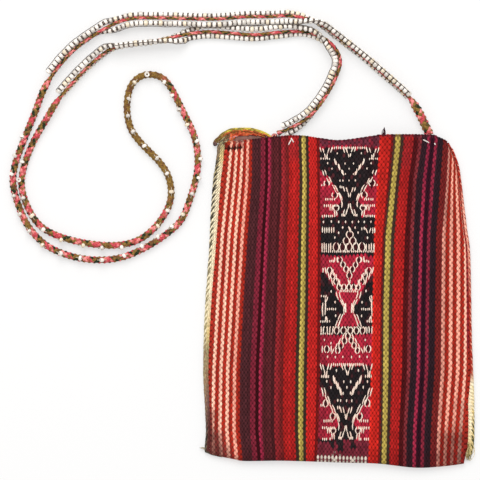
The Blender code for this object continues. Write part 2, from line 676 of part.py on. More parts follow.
def main():
    """Builds the bag, its seams, its mouth edges and its strap."""
    clear_scene()
    cloth_front = finish("striped_wool_front", "#B02620", 0.9)
    cloth_back = finish("striped_wool_back", "#8E2624", 0.9)
    seam_yarn = finish("overcast_seam_yarn", "#C9B98C", 0.9)
    dark_yarn = finish("maroon_edge_yarn", "#4A1722", 0.9)
    corner_yarn = finish("olive_corner_yarn", "#A8862C", 0.9)
    braid_yarn = finish("coral_and_olive_braid", "#9C5A3C", 0.9)
    bead_glass = finish("white_glass_bead", "#EFE9DD", 0.3)
    grey_yarn = finish("grey_loose_yarn", "#6E655C", 0.9)
    fray_yarn = finish("olive_loose_yarn", "#4C4A26", 0.9)
    white_thread = finish("white_sewing_thread", "#E6DCD2", 0.8)

    plan, back = bag(cloth_front, cloth_back)
    seam("left_side_seam", seam_yarn, plan.left, left_seam_width, 1)
    seam("right_side_seam", seam_yarn, plan.right, right_seam_width, -1, FRAY_LENGTH + SEAT_GAP)
    mouth_edges(plan, back, dark_yarn, corner_yarn)

    line = strap_line()
    right, left = run_marks(line.length)
    strap_braid(braid_yarn, line)
    bead_row("right_run_bead_row_one", bead_glass, line, right, RIGHT_ROW_ONE_TURN_SHARES)
    bead_row("right_run_bead_row_two", bead_glass, line, right, RIGHT_ROW_TWO_TURN_SHARES)
    bead_row("left_run_bead_row_one", bead_glass, line, left, LEFT_ROW_ONE_TURN_SHARES)
    bead_row("left_run_bead_row_two", bead_glass, line, left, LEFT_ROW_TWO_TURN_SHARES)
    loop_beads(bead_glass, line)

    knot("left_strap_knot", braid_yarn, LEFT_KNOT_SHARES, LEFT_KNOT_DIAMETER, KNOT_HEIGHT)
    knot("right_strap_knot", braid_yarn, RIGHT_KNOT_SHARES, RIGHT_KNOT_DIAMETER, KNOT_HEIGHT)
    knot("left_corner_knot", dark_yarn, CORNER_KNOT_SHARES, CORNER_KNOT_DIAMETER, KNOT_HEIGHT)

    tuft_root = front_edge_point(plan, plan.across(TUFT_SHARE * BAG_WIDTH))
    tuft_root.y += FRONT_EDGE_DIAMETER / 2 + SEAT_GAP
    tip("mouth_yarn_tuft", dark_yarn, tuft_root, Vector((0.0, 1.0, 0.0)),
        (TUFT_LENGTH, TUFT_DIAMETER, TUFT_TIP_DIAMETER))
    tail_root = place(TAIL_ROOT_SHARES) + Vector((-2 * SEAT_GAP, 0.0, SEAM_THICKNESS / 2))
    tip("bottom_left_tail", grey_yarn, tail_root, Vector((-1.0, 1 / 4, 0.0)),
        (TAIL_LENGTH, TAIL_DIAMETER, TAIL_TIP_DIAMETER))
    fray_root = seam_middle(plan.right, right_seam_width, -1, FRAY_LENGTH)
    fray_end = seam_middle(plan.right, right_seam_width, -1, 0.0)
    tip("bottom_right_fray", fray_yarn, fray_root, fray_end - fray_root,
        (FRAY_LENGTH, FRAY_DIAMETER, FRAY_TIP_DIAMETER))
    stitch("left_sewing_stitch", white_thread, plan, LEFT_STITCH_SHARES)
    stitch("right_sewing_stitch", white_thread, plan, RIGHT_STITCH_SHARES)


main()
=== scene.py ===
"""Dresses a small hand-woven medicine bag and its long beaded strap, and lights them on a plain pale ground.

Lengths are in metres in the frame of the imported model: the bag lies on its back, +Y runs from its fold to its
mouth and +Z points up out of its front. Places on the bag are also given in chart squares of 0.68 mm, counted to
the right and down from the camera frame's top left corner, as a weaver counts squares on a chart.
"""
import logging
import math
from dataclasses import dataclass
from enum import Enum
from typing import Callable, Optional, Sequence

import bmesh
import bpy
import numpy as np
from bpy.types import Material, Node, NodeTree, Object
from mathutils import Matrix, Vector


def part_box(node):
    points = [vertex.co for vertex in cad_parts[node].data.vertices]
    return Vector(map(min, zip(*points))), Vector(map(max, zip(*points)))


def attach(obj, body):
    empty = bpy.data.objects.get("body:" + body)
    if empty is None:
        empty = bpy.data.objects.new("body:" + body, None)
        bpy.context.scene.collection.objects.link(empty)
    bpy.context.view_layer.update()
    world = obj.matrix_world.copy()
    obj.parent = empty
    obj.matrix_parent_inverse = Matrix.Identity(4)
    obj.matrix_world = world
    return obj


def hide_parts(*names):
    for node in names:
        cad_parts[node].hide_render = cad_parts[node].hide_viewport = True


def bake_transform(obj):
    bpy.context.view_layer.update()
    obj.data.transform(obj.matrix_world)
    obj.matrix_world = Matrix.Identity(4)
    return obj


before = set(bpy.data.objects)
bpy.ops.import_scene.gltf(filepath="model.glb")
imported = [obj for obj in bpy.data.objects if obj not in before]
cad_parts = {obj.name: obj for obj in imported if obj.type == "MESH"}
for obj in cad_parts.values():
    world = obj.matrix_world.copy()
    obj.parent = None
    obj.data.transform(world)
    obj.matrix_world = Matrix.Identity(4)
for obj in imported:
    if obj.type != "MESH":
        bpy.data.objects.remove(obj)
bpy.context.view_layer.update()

LOG = logging.getLogger("medicine_bag")

# The camera hangs straight over the middle of its frame, far enough for a long lens
CAMERA_PLACE = (-0.06698, 0.03944, 2.72)
FRAME_SQUARES = 480
SQUARE = 0.00068
FACE_HEIGHT = 0.011
STRAP_HEIGHT = 0.004

SHARP_ANGLE = math.radians(60.0)
# The part of a noise's range that nearly all of it falls in
MIDDLE = {"From Min": 0.3, "From Max": 0.7}

Array = np.ndarray
Pairs = Sequence[tuple[float, float]]
Layers = tuple[Node, Node, float, float, dict]


class Dye(Enum):
    """The colours of the yarns, threads, beads and board, and of the shade painted on the cloth, as sRGB hex
    values.
    """

    CREAM = "#FFB9A0"
    DULL_CREAM = "#C47F70"
    WORN_CREAM = "#EFA08A"
    BRICK = "#A02619"
    EDGE_RED = "#A62C1F"
    BRIGHT_RED = "#AA1E1C"
    CLEAR_RED = "#CA2521"
    HOT_RED = "#CC261D"
    MAROON = "#461F23"
    PLUM = "#4E1C20"
    MAGENTA = "#92243D"
    DULL_MAGENTA = "#7A2132"
    # Near-black purple thread; the same colour is laid over the cloth as painted shade
    NIGHT = "#3A0810"
    CRIMSON = "#8A2227"
    DARK_RED = "#6E1E1D"
    # Dark red: painted shade beside the band's left edge and above the gap under the mouth's left corner, and one
    # dark thread right of the band
    SHADE_RED = "#6F1514"
    OLIVE = "#392B22"
    YELLOW = "#B6A04E"
    RIGHT_MAROON = "#490D10"
    RIGHT_CRIMSON = "#7C2B31"
    BLACK = "#2A181F"
    RIGHT_PURPLE = "#2C0C1A"
    MOTIF_BLACK = "#1F1A1C"
    MOTIF_CRIMSON = "#AC2438"
    MOTIF_ROSE = "#76202C"
    MOTIF_CREAM = "#FFEEDC"
    MOTIF_HOLE = "#3A161A"
    FOOT = "#6E2430"
    HEADER = "#5E2834"
    # Painted shadow in the gap under the mouth's left corner
    GAP_SHADOW = "#2A0E0A"
    # Painted shade at the lower corners, where the cloth curves away and turns under
    SCORCH = "#5E2E2A"
    GREY_MAUVE = "#7C5A52"
    MAUVE_PINK = "#C88A8E"
    ORANGE = "#D0662E"
    SEAM_CREAM = "#F6E7C4"
    SEAM_YELLOW = "#E6CC8C"
    SEAM_OLIVE = "#A79A72"
    SEAM_BROWN = "#9C7E60"
    SEAM_DARK = "#6E6450"
    SEAM_BLACK = "#3A342C"
    SEAM_PINK = "#E7A98F"
    YARN_OLIVE = "#8F7E36"
    YARN_GOLD = "#D8C04C"
    YARN_RUST = "#9A5A2C"
    YARN_CORAL = "#DC6A40"
    YARN_BROWN = "#6E4A30"
    NAVY = "#34323E"
    BRAID_OLIVE = "#8A6A34"
    BRAID_CORAL = "#C84C54"
    # Pale pink: painted highlight, standing for the glints on the coral yarn
    BRAID_PINK = "#EE8F8A"
    BRAID_GREEN = "#27331F"
    BEAD_WHITE = "#F2EAE0"
    BEAD_CREAM = "#E8D8BE"
    BEAD_GREY = "#D2CAC0"
    THREAD_GREY = "#655A53"
    TUFT = "#3C2430"
    TAIL_GREY = "#7E766C"
    FRAY_OLIVE = "#55512C"
    WHITE_COTTON = "#EFE6DE"
    PAPER = "#E4E3E2"

    @property
    def linear(self) -> Array:
        """The colour as linear red, green and blue."""
        return srgb_to_linear(self.value)


def srgb_to_linear(hex_colour: str) -> Array:
    """Turns an sRGB hex colour to linear light.

    Args:
        hex_colour: The colour as a hash and six hex digits.

    Returns:
        Its red, green and blue as linear numbers.
    """
    channels = np.array([int(hex_colour[index:index + 2], 16) / 255 for index in (1, 3, 5)])
    return np.where(channels <= 0.04045, channels / 12.92, ((channels + 0.055) / 1.055) ** 2.4)


def chart_place(column: float | Array, row: float | Array, height: float) -> Array:
    """Finds where a chart square lies at a height over the ground, seen from the camera.

    Args:
        column: Squares to the right of the frame's left side.
        row: Squares down from the frame's top.
        height: The height over the ground of what lies there.

    Returns:
        The x and y of the place.
    """
    squares = SQUARE * (1 - height / CAMERA_PLACE[2])
    column, row = np.broadcast_arrays(np.asarray(column, float), np.asarray(row, float))
    return np.stack([CAMERA_PLACE[0] + (column - FRAME_SQUARES / 2) * squares,
                     CAMERA_PLACE[1] + (FRAME_SQUARES / 2 - row) * squares], axis=-1)


def chart_square(places: Array, height: float) -> tuple[Array, Array]:
    """Finds the chart squares of places at a height over the ground.

    Args:
        places: Points, x and y first.
        height: Their height over the ground.

    Returns:
        Their columns and rows.
    """
    squares = SQUARE * (1 - height / CAMERA_PLACE[2])
    return (FRAME_SQUARES / 2 + (places[..., 0] - CAMERA_PLACE[0]) / squares,
            FRAME_SQUARES / 2 - (places[..., 1] - CAMERA_PLACE[1]) / squares)


def eased(pairs: Pairs, at: float | Array) -> Array:
    """Reads a table of (place, value) rows, eased between its rows.

    Args:
        pairs: The rows, in rising order of place.
        at: The places to read.

    Returns:
        The values there.
    """
    places = np.array([pair[0] for pair in pairs])
    values = np.array([pair[1] for pair in pairs])
    at = np.clip(at, places[0], places[-1])
    row = np.clip(np.searchsorted(places, at) - 1, 0, len(places) - 2)
    share = (at - places[row]) / (places[row + 1] - places[row])
    return values[row] + (values[row + 1] - values[row]) * share * share * (3 - 2 * share)


def smooth_step(low: float, high: float, at: Array) -> Array:
    """Rises evenly from 0 at low to 1 at high."""
    share = np.clip((at - low) / (high - low), 0.0, 1.0)
    return share * share * (3 - 2 * share)


def smooth_line(points: Sequence[Sequence[float]] | Array, steps: int) -> Array:
    """Draws a Catmull-Rom curve through points.

    Args:
        points: The points to pass through.
        steps: How many pieces each span is cut into.

    Returns:
        The closely spaced points of the curve.
    """
    points = np.asarray(points, float)
    ends = np.vstack((2 * points[0] - points[1], points, 2 * points[-1] - points[-2]))
    a, b, c, d = (ends[start:len(ends) - 3 + start, None, :] for start in range(4))
    t = (np.arange(steps) / steps)[None, :, None]
    curve = (b + (c - a) * (t / 2) + (a * 2 - b * 5 + c * 4 - d) * (t * t / 2)
             + (b * 3 - a - c * 3 + d) * (t ** 3 / 2))
    return np.vstack((curve.reshape(-1, points.shape[1]), points[-1:]))


def unit(vectors: Array) -> Array:
    """Vectors of the same directions and a length of 1."""
    return vectors / np.linalg.norm(vectors, axis=-1, keepdims=True)


def sideways(headings: Array) -> Array:
    """The level direction to the left of each heading."""
    return unit(np.stack([-headings[..., 1], headings[..., 0], np.zeros_like(headings[..., 0])], axis=-1))


class Line:
    """A polyline that can be read at any distance along it."""

    def __init__(self, points: Array) -> None:
        """Measures the line.

        Args:
            points: Its points, in order.
        """
        self.points = np.asarray(points, float)
        steps = np.diff(self.points, axis=0)
        lengths = np.linalg.norm(steps, axis=1)
        self.marks = np.concatenate(([0.0], np.cumsum(lengths)))
        self.length = float(self.marks[-1])
        steps = steps / lengths[:, None]
        self.headings = np.vstack((steps[:1], unit(steps[:-1] + steps[1:]), steps[-1:]))

    def read(self, rows: Array, distances: Array) -> Array:
        """Reads rows of numbers, one for each point of the line, at distances along it."""
        return np.stack([np.interp(distances, self.marks, levels) for levels in rows.T], axis=-1)

    def at(self, distances: float | Array) -> Array:
        """The points at distances along the line."""
        return self.read(self.points, np.asarray(distances, float))

    def heading(self, distances: float | Array) -> Array:
        """The directions at distances along the line, turned evenly between its corners."""
        return unit(self.read(self.headings, np.asarray(distances, float)))

    def level(self, across: float | Array) -> Array:
        """The y of the line where it passes places on the x axis."""
        return np.interp(across, self.points[:, 0], self.points[:, 1])

    def crossing(self, height: float | Array) -> Array:
        """The x of the line where it passes places on the y axis."""
        return np.interp(height, self.points[:, 1], self.points[:, 0])

    def beside(self, reach: float | Array) -> "Line":
        """The line moved to its left by a reach."""
        return Line(self.points + sideways(self.headings) * np.reshape(reach, (-1, 1)))


class Mount(Enum):
    """What a piece moves with."""

    BACK = "back of the bag"
    POUCH = "both faces of the bag"


class Shape:
    """The points, faces, dyes and thread coordinates of one piece, gathered before they are made a mesh."""

    def __init__(self) -> None:
        """Starts empty."""
        self.points: list[Array] = []
        self.reliefs: list[Array] = []
        self.faces: list[tuple[int, ...]] = []
        self.dyes: list[Array] = []
        self.threads: list[Array] = []
        self.finishes: list[int] = []
        self.count = 0

    def add_points(self, points: Array, reliefs: float | Array = 1.0) -> int:
        """Adds points.

        Args:
            points: Rows of x, y and z.
            reliefs: How far each stands out of the weave, from 0 to 1.

        Returns:
            The index of the first one.
        """
        first = self.count
        self.points.append(np.reshape(points, (-1, 3)))
        self.count += len(self.points[-1])
        self.reliefs.append(np.broadcast_to(np.ravel(reliefs), (self.count - first,)))
        return first

    def add_faces(self, faces: Array, dyes: Array, threads: Array = (0.0, 0.0), finish: int = 0) -> None:
        """Adds faces with equal counts of corners.

        Args:
            faces: Rows of point indices.
            dyes: A linear colour, or one for each face.
            threads: Thread coordinates of each corner of each face, or one pair for all.
            finish: Which of the piece's materials they have.
        """
        faces = np.asarray(faces)
        self.faces.extend(map(tuple, faces.tolist()))
        count, sides = faces.shape
        self.dyes.append(np.repeat(np.broadcast_to(dyes, (count, 3)), sides, axis=0))
        self.threads.append(np.broadcast_to(threads, (count, sides, 2)).reshape(-1, 2))
        self.finishes.extend([finish] * count)

    def build(self, name: str, node: str, slot: str, *materials: Material,
              mount: Mount = Mount.BACK) -> Object:
        """Makes the piece and puts it in its node's place.

        Args:
            name: The name of the piece.
            node: The node that it stands for.
            slot: The name of the record's material slot for the piece; not used.
            materials: Its materials, in the order of the faces' finishes.
            mount: What it moves with.

        Returns:
            The new object, at the origin.
        """
        mesh = bpy.data.meshes.new(name)
        mesh.from_pydata(np.vstack(self.points).tolist(), [], self.faces)
        dyes = np.vstack(self.dyes)
        mesh.color_attributes.new("dye", "FLOAT_COLOR", "CORNER").data.foreach_set(
            "color", np.hstack((dyes, np.ones((len(dyes), 1)))).ravel())
        mesh.uv_layers.new(name="thread").data.foreach_set("uv", np.vstack(self.threads).ravel())
        mesh.attributes.new("relief", "FLOAT", "POINT").data.foreach_set("value", np.concatenate(self.reliefs))
        mesh.polygons.foreach_set("material_index", self.finishes)
        for material in materials:
            mesh.materials.append(material)
        shape = bmesh.new()
        shape.from_mesh(mesh)
        bmesh.ops.recalc_face_normals(shape, faces=shape.faces)
        shape.to_mesh(mesh)
        shape.free()
        mesh.shade_smooth()
        mesh.set_sharp_from_angle(angle=SHARP_ANGLE)
        item = bpy.data.objects.new(name, mesh)
        bpy.context.scene.collection.objects.link(item)
        if mount is Mount.POUCH:
            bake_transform(item)
        else:
            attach(item, "bag_back")
        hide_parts(node)
        LOG.info("%s: %d faces", name, len(mesh.polygons))
        return item


def carried_frames(path: Array) -> tuple[Array, Array]:
    """Carries a side direction along a path without twisting it.

    Args:
        path: The path's points.

    Returns:
        A side and an upward direction for each point, both square to the path.
    """
    headings = unit(np.gradient(path, axis=0))
    side = np.cross((0.0, 0.0, 1.0), headings[0])
    if np.linalg.norm(side) < 0.1:
        side = np.cross((0.0, 1.0, 0.0), headings[0])
    sides = []
    for heading in headings:
        side = side - heading * np.dot(side, heading)
        side = side / np.linalg.norm(side)
        sides.append(side)
    sides = np.array(sides)
    return sides, np.cross(headings, sides)


def add_yarn(shape: Shape, path: Array, radii: float | Array, dyes: Array, corners: int = 6, lay: float = 0.004,
             flatness: float = 1.0, finish: int = 0, ups: Optional[Array] = None) -> None:
    """Adds one closed strand of yarn.

    Args:
        shape: The piece that it belongs to.
        path: The points that the strand follows.
        radii: Its radius, or one for each point.
        dyes: Its linear colour, or one for each stretch between two points.
        corners: How many corners its section has.
        lay: How far along the strand its plies take to turn once.
        flatness: Its height as a share of its width.
        finish: Which of the piece's materials it has.
        ups: The direction of its height at each point, where it isn't carried along from the start.
    """
    count = len(path)
    if ups is None:
        sides, ups = carried_frames(path)
    else:
        headings = unit(np.gradient(path, axis=0))
        sides = unit(np.cross(ups, headings))
        ups = np.cross(headings, sides)
    turns = 2 * np.pi * np.arange(corners)[None, :, None] / corners
    radii = np.broadcast_to(radii, (count,))[:, None, None]
    first = shape.add_points(path[:, None, :] + sides[:, None, :] * (np.cos(turns) * radii)
                             + ups[:, None, :] * (np.sin(turns) * radii * flatness))
    along = np.concatenate(([0.0], np.cumsum(np.linalg.norm(np.diff(path, axis=0), axis=1)))) / lay
    row, corner = np.meshgrid(np.arange(count - 1), np.arange(corners), indexing="ij")
    here, after = row * corners + corner, row * corners + (corner + 1) % corners
    faces = first + np.stack([here, after, after + corners, here + corners], axis=-1).reshape(-1, 4)
    u, v, beyond = corner / corners, along[row], along[row + 1]
    threads = np.stack([u, v, u + 1 / corners, v, u + 1 / corners, beyond, u, beyond], axis=-1).reshape(-1, 4, 2)
    dyes = np.broadcast_to(dyes, (count - 1, 3))
    shape.add_faces(faces, np.repeat(dyes, corners, axis=0), threads, finish)
    rim = np.arange(corners)
    for end, base in ((0, first), (-1, first + (count - 1) * corners)):
        middle = np.full(corners, shape.add_points(path[end]))
        corner = np.stack([middle, base + rim, base + (rim + 1) % corners], axis=-1)
        shape.add_faces(corner, dyes[end], finish=finish)


def blended(one: Array, other: Array, share: float | Array) -> Array:
    """One colour with a share of another."""
    return one * (1 - share) + other * share


def mottled(dye: Dye, other: Dye, count: int, seed: int, share: float = 0.35) -> Array:
    """Colours for the stretches of a strand that wander between two dyes.

    Args:
        dye: Its main dye.
        other: The dye it strays to.
        count: How many stretches it has.
        seed: The seed of its wandering.
        share: How much of the strand strays.

    Returns:
        One linear colour for each stretch.
    """
    noise = np.random.default_rng(seed)
    wander = np.convolve(noise.random(count + 4), np.ones(5) / 5, mode="valid")
    mix = smooth_step(0.62 - share * 0.4, 0.78 - share * 0.4, wander)[:, None]
    return blended(dye.linear, other.linear, mix) * (0.9 + 0.2 * noise.random((count, 1)))


def warp_floats(row: Array, column: Array) -> tuple[Array, Array, Array]:
    """Finds the warp floats that show at places of a weave, where each thread is up on every second pick.

    Args:
        row: The place along the threads, in half picks.
        column: The place across them, in half threads from the side of the first one.

    Returns:
        The pick and the thread of each float, and how far it stands out there, from 0 to 1.
    """
    thread, pick = (column - 1) / 2, row / 2
    rising, falling = thread + pick, thread - pick
    middle_rising, middle_falling = 2 * np.round(rising / 2), 2 * np.round(falling / 2)
    one, two = np.abs(rising - middle_rising), np.abs(falling - middle_falling)
    relief = 0.65 * (1 - one ** 2) * (1 - two ** 2) + 0.35 * (1 - one * two)
    return (((middle_rising - middle_falling) / 2).astype(int),
            ((middle_rising + middle_falling) / 2).astype(int), relief)


def add_weave(shape: Shape, grid: Array, dyes: Array, closed: bool = False, blur: float = 0.5) -> int:
    """Adds one face of a weave in which each warp thread shows as a row of long pillows.

    Args:
        shape: The piece that it belongs to.
        grid: Points by half pick and half thread.
        dyes: The linear colour of each float, by pick and thread.
        closed: Whether the picks run round in a ring.
        blur: How much of the thread below shows where a float bulges sideways over it.

    Returns:
        The index of the first point.
    """
    rows, columns = grid.shape[:2]
    row, column = np.meshgrid(np.arange(rows), np.arange(columns), indexing="ij")
    first = shape.add_points(grid, warp_floats(row, column)[2])
    spans = rows if closed else rows - 1
    row, column = (index.ravel() for index in
                   np.meshgrid(np.arange(spans), np.arange(columns - 1), indexing="ij"))
    a, b, c, d = (np.stack(corner, axis=-1) for corner in
                  ((row, column), (row, column + 1), (row + 1, column + 1), (row + 1, column)))
    even = ((row + column) % 2 == 0)[:, None, None]
    one = np.where(even, np.stack([a, b, d], axis=1), np.stack([b, c, a], axis=1))
    two = np.where(even, np.stack([c, d, b], axis=1), np.stack([d, a, c], axis=1))
    for corners in (one, two):
        middles = corners.mean(axis=1)
        pick, thread, _ = warp_floats(middles[:, 0], middles[:, 1])
        pick = pick % len(dyes) if closed else np.clip(pick, 0, len(dyes) - 1)
        below = dyes[pick, (middles[:, 1] / 2).astype(int)]
        above = dyes[pick, np.clip(thread, 0, dyes.shape[1] - 1)]
        shape.add_faces(first + (corners[..., 0] % rows) * columns + corners[..., 1],
                        above * (1 - blur) + below * blur, corners[..., ::-1] / 2)
    return first


@dataclass
class BagPlan:
    """The bag's outline, seams and height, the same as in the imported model."""

    width: float = 0.1843
    height: float = 0.2237
    cloth: float = 0.0016
    seat_gap: float = 0.0003
    fold: float = 0.0033
    corner_fold: float = 0.0019
    belly: float = 0.0155
    side: float = 0.0038
    swell_power: float = 2.6
    left_seam: Pairs = ((0.0, 0.0032), (0.55, 0.0044), (0.85, 0.0056), (1.0, 0.0052))
    right_seam: Pairs = ((0.0, 0.0044), (0.17, 0.0044), (0.27, 0.0022), (0.7, 0.0019), (1.0, 0.0012))
    front_edge: float = 0.0026
    back_edge: float = 0.0024
    back_drop: float = 0.0051
    corner_yarn: float = 0.0034
    left_knot: float = 0.0044
    steps: int = 24
    swell_shares: Pairs = ((0.0, 0.0), (0.05, 0.24), (0.14, 0.58), (0.30, 0.90), (0.50, 1.0), (0.80, 0.92),
                           (1.0, 0.62))
    left_shares: Pairs = ((-0.494, -0.462), (-0.489, -0.401), (-0.494, -0.310), (-0.499, -0.213), (-0.493, -0.036),
                          (-0.480, 0.116), (-0.470, 0.271), (-0.463, 0.353), (-0.452, 0.419), (-0.446, 0.471))
    right_shares: Pairs = ((0.487, -0.490), (0.500, -0.432), (0.500, -0.310), (0.496, -0.219), (0.491, -0.097),
                           (0.485, 0.131), (0.474, 0.207), (0.463, 0.283), (0.452, 0.359), (0.443, 0.404),
                           (0.423, 0.450), (0.408, 0.473))
    mouth_shares: Pairs = ((-0.446, 0.471), (-0.363, 0.476), (-0.234, 0.488), (-0.142, 0.491), (-0.068, 0.483),
                           (0.006, 0.477), (0.116, 0.489), (0.164, 0.494), (0.338, 0.494), (0.375, 0.486),
                           (0.408, 0.473))
    fold_shares: Pairs = ((-0.494, -0.462), (-0.478, -0.474), (-0.389, -0.489), (-0.345, -0.495), (-0.216, -0.494),
                          (-0.079, -0.497), (0.024, -0.500), (0.146, -0.503), (0.279, -0.515), (0.375, -0.512),
                          (0.467, -0.502), (0.487, -0.490))
    arch_shares: Pairs = ((-0.4395, 0.4859), (-0.4300, 0.4930), (-0.418, 0.4995), (-0.393, 0.5085),
                          (-0.341, 0.5105), (-0.312, 0.5080), (-0.272, 0.4980), (-0.2515, 0.4890))
    left_knot_shares: tuple[float, float] = (-0.2365, 0.4905)

    def __post_init__(self) -> None:
        """Draws the plan's lines."""
        self.left = self.outline(self.left_shares)
        self.right = self.outline(self.right_shares)
        self.bottom = self.outline(self.fold_shares)
        self.mouth = self.outline(self.mouth_shares)
        self.arch = self.outline(self.arch_shares)
        self.left_inside = self.inside(self.left, self.left_seam, 1)
        self.right_inside = self.inside(self.right, self.right_seam, -1)
        self.front_mouth = self.mouth.beside(-self.front_edge - self.seat_gap)
        arch = self.arch.beside(-self.corner_yarn / 2 - self.seat_gap).points
        hidden = self.mouth.points - np.array((0.0, self.back_drop + self.back_edge, 0.0))
        start = self.place(self.left_knot_shares)[0] + self.left_knot
        self.back_mouth = Line(np.vstack((arch, hidden[hidden[:, 0] >= start])))

    def place(self, shares: Sequence[float]) -> Array:
        """A point of the plan from its shares of the bag."""
        return np.array((shares[0] * self.width, shares[1] * self.height, 0.0))

    def outline(self, shares: Pairs) -> Line:
        """A smooth line through points of the plan."""
        return Line(smooth_line([self.place(pair) for pair in shares], self.steps))

    def inside(self, edge: Line, widths: Pairs, way: int) -> Line:
        """The line just inside the seam that runs up one side.

        Args:
            edge: The bag's side.
            widths: The seam's width by its share of the way from the fold to the mouth.
            way: 1 on the left side and -1 on the right.

        Returns:
            The line.
        """
        return edge.beside(-(eased(widths, edge.marks / edge.length) + self.seat_gap) * way)

    def swell(self, across: Array) -> Array:
        """The share of the belly's rise at shares of the width."""
        return 1 - np.abs(2 * across - 1) ** self.swell_power

    def fold_radius(self, across: Array) -> Array:
        """The outer radius of the turned bottom at shares of the width."""
        return self.corner_fold + (self.fold - self.corner_fold) * self.swell(across)

    def front_height(self, across: Array, up: Array) -> Array:
        """The height of the front's outer face over the ground at shares of its width and height."""
        low = 2 * self.fold_radius(across)
        crest = low + (self.belly - low) * eased(self.swell_shares, up)
        edge = low + (self.side - low) * np.minimum(1.0, up / self.swell_shares[1][0])
        return edge + (crest - edge) * self.swell(across)

    def ends(self, mouth: Line, x_at: Callable[[Array], Array], count: int) -> tuple[Array, Array]:
        """The y at which each warp thread leaves the fold and reaches a mouth line.

        Args:
            mouth: The line of the mouth.
            x_at: Gives the x of every thread at a y of its own.
            count: How many threads there are.

        Returns:
            The lower and the upper y of each thread.
        """
        low = np.full(count, self.bottom.points[0, 1])
        high = np.full(count, mouth.points[0, 1])
        for _ in range(4):
            x = x_at(low)
            across = self.across(x, low)
            low = self.bottom.level(x) + self.fold_radius(across)
            high = mouth.level(x_at(high))
        return low, high

    def across(self, x: Array, y: Array) -> Array:
        """The share of the width of places inside the seams."""
        left, right = self.left_inside.crossing(y), self.right_inside.crossing(y)
        return np.clip((x - left) / (right - left), 0.0, 1.0)

    def face_height(self, x: Array, y: Array) -> Array:
        """The height of the front's outer face at places on the plan, ripples included."""
        across = self.across(x, y)
        low = self.bottom.level(x) + self.fold_radius(across)
        up = np.clip((y - low) / (self.front_mouth.level(x) - low), 0.0, 1.0)
        return self.front_height(across, up) + self.ripple(x, y) * self.swell(across) * smooth_step(0.0, 0.1, up)

    @staticmethod
    def ripple(x: Array, y: Array) -> Array:
        """The slight rise and fall of hand-woven cloth that lies slack."""
        return (0.00030 * np.sin(x * 71 + 1.3) * np.sin(y * 43 + 0.6) + 0.00022 * np.sin(x * 133 + y * 57)
                + 0.00018 * np.sin(y * 118 - x * 29 + 2.1) - 0.0003)


def read_stripes(words: str) -> list[tuple[Dye, int]]:
    """Reads stripes from words: the name of a dye and its count of threads, by turns."""
    parts = words.split()
    return [(Dye[dye], int(count)) for dye, count in zip(parts[::2], parts[1::2])]


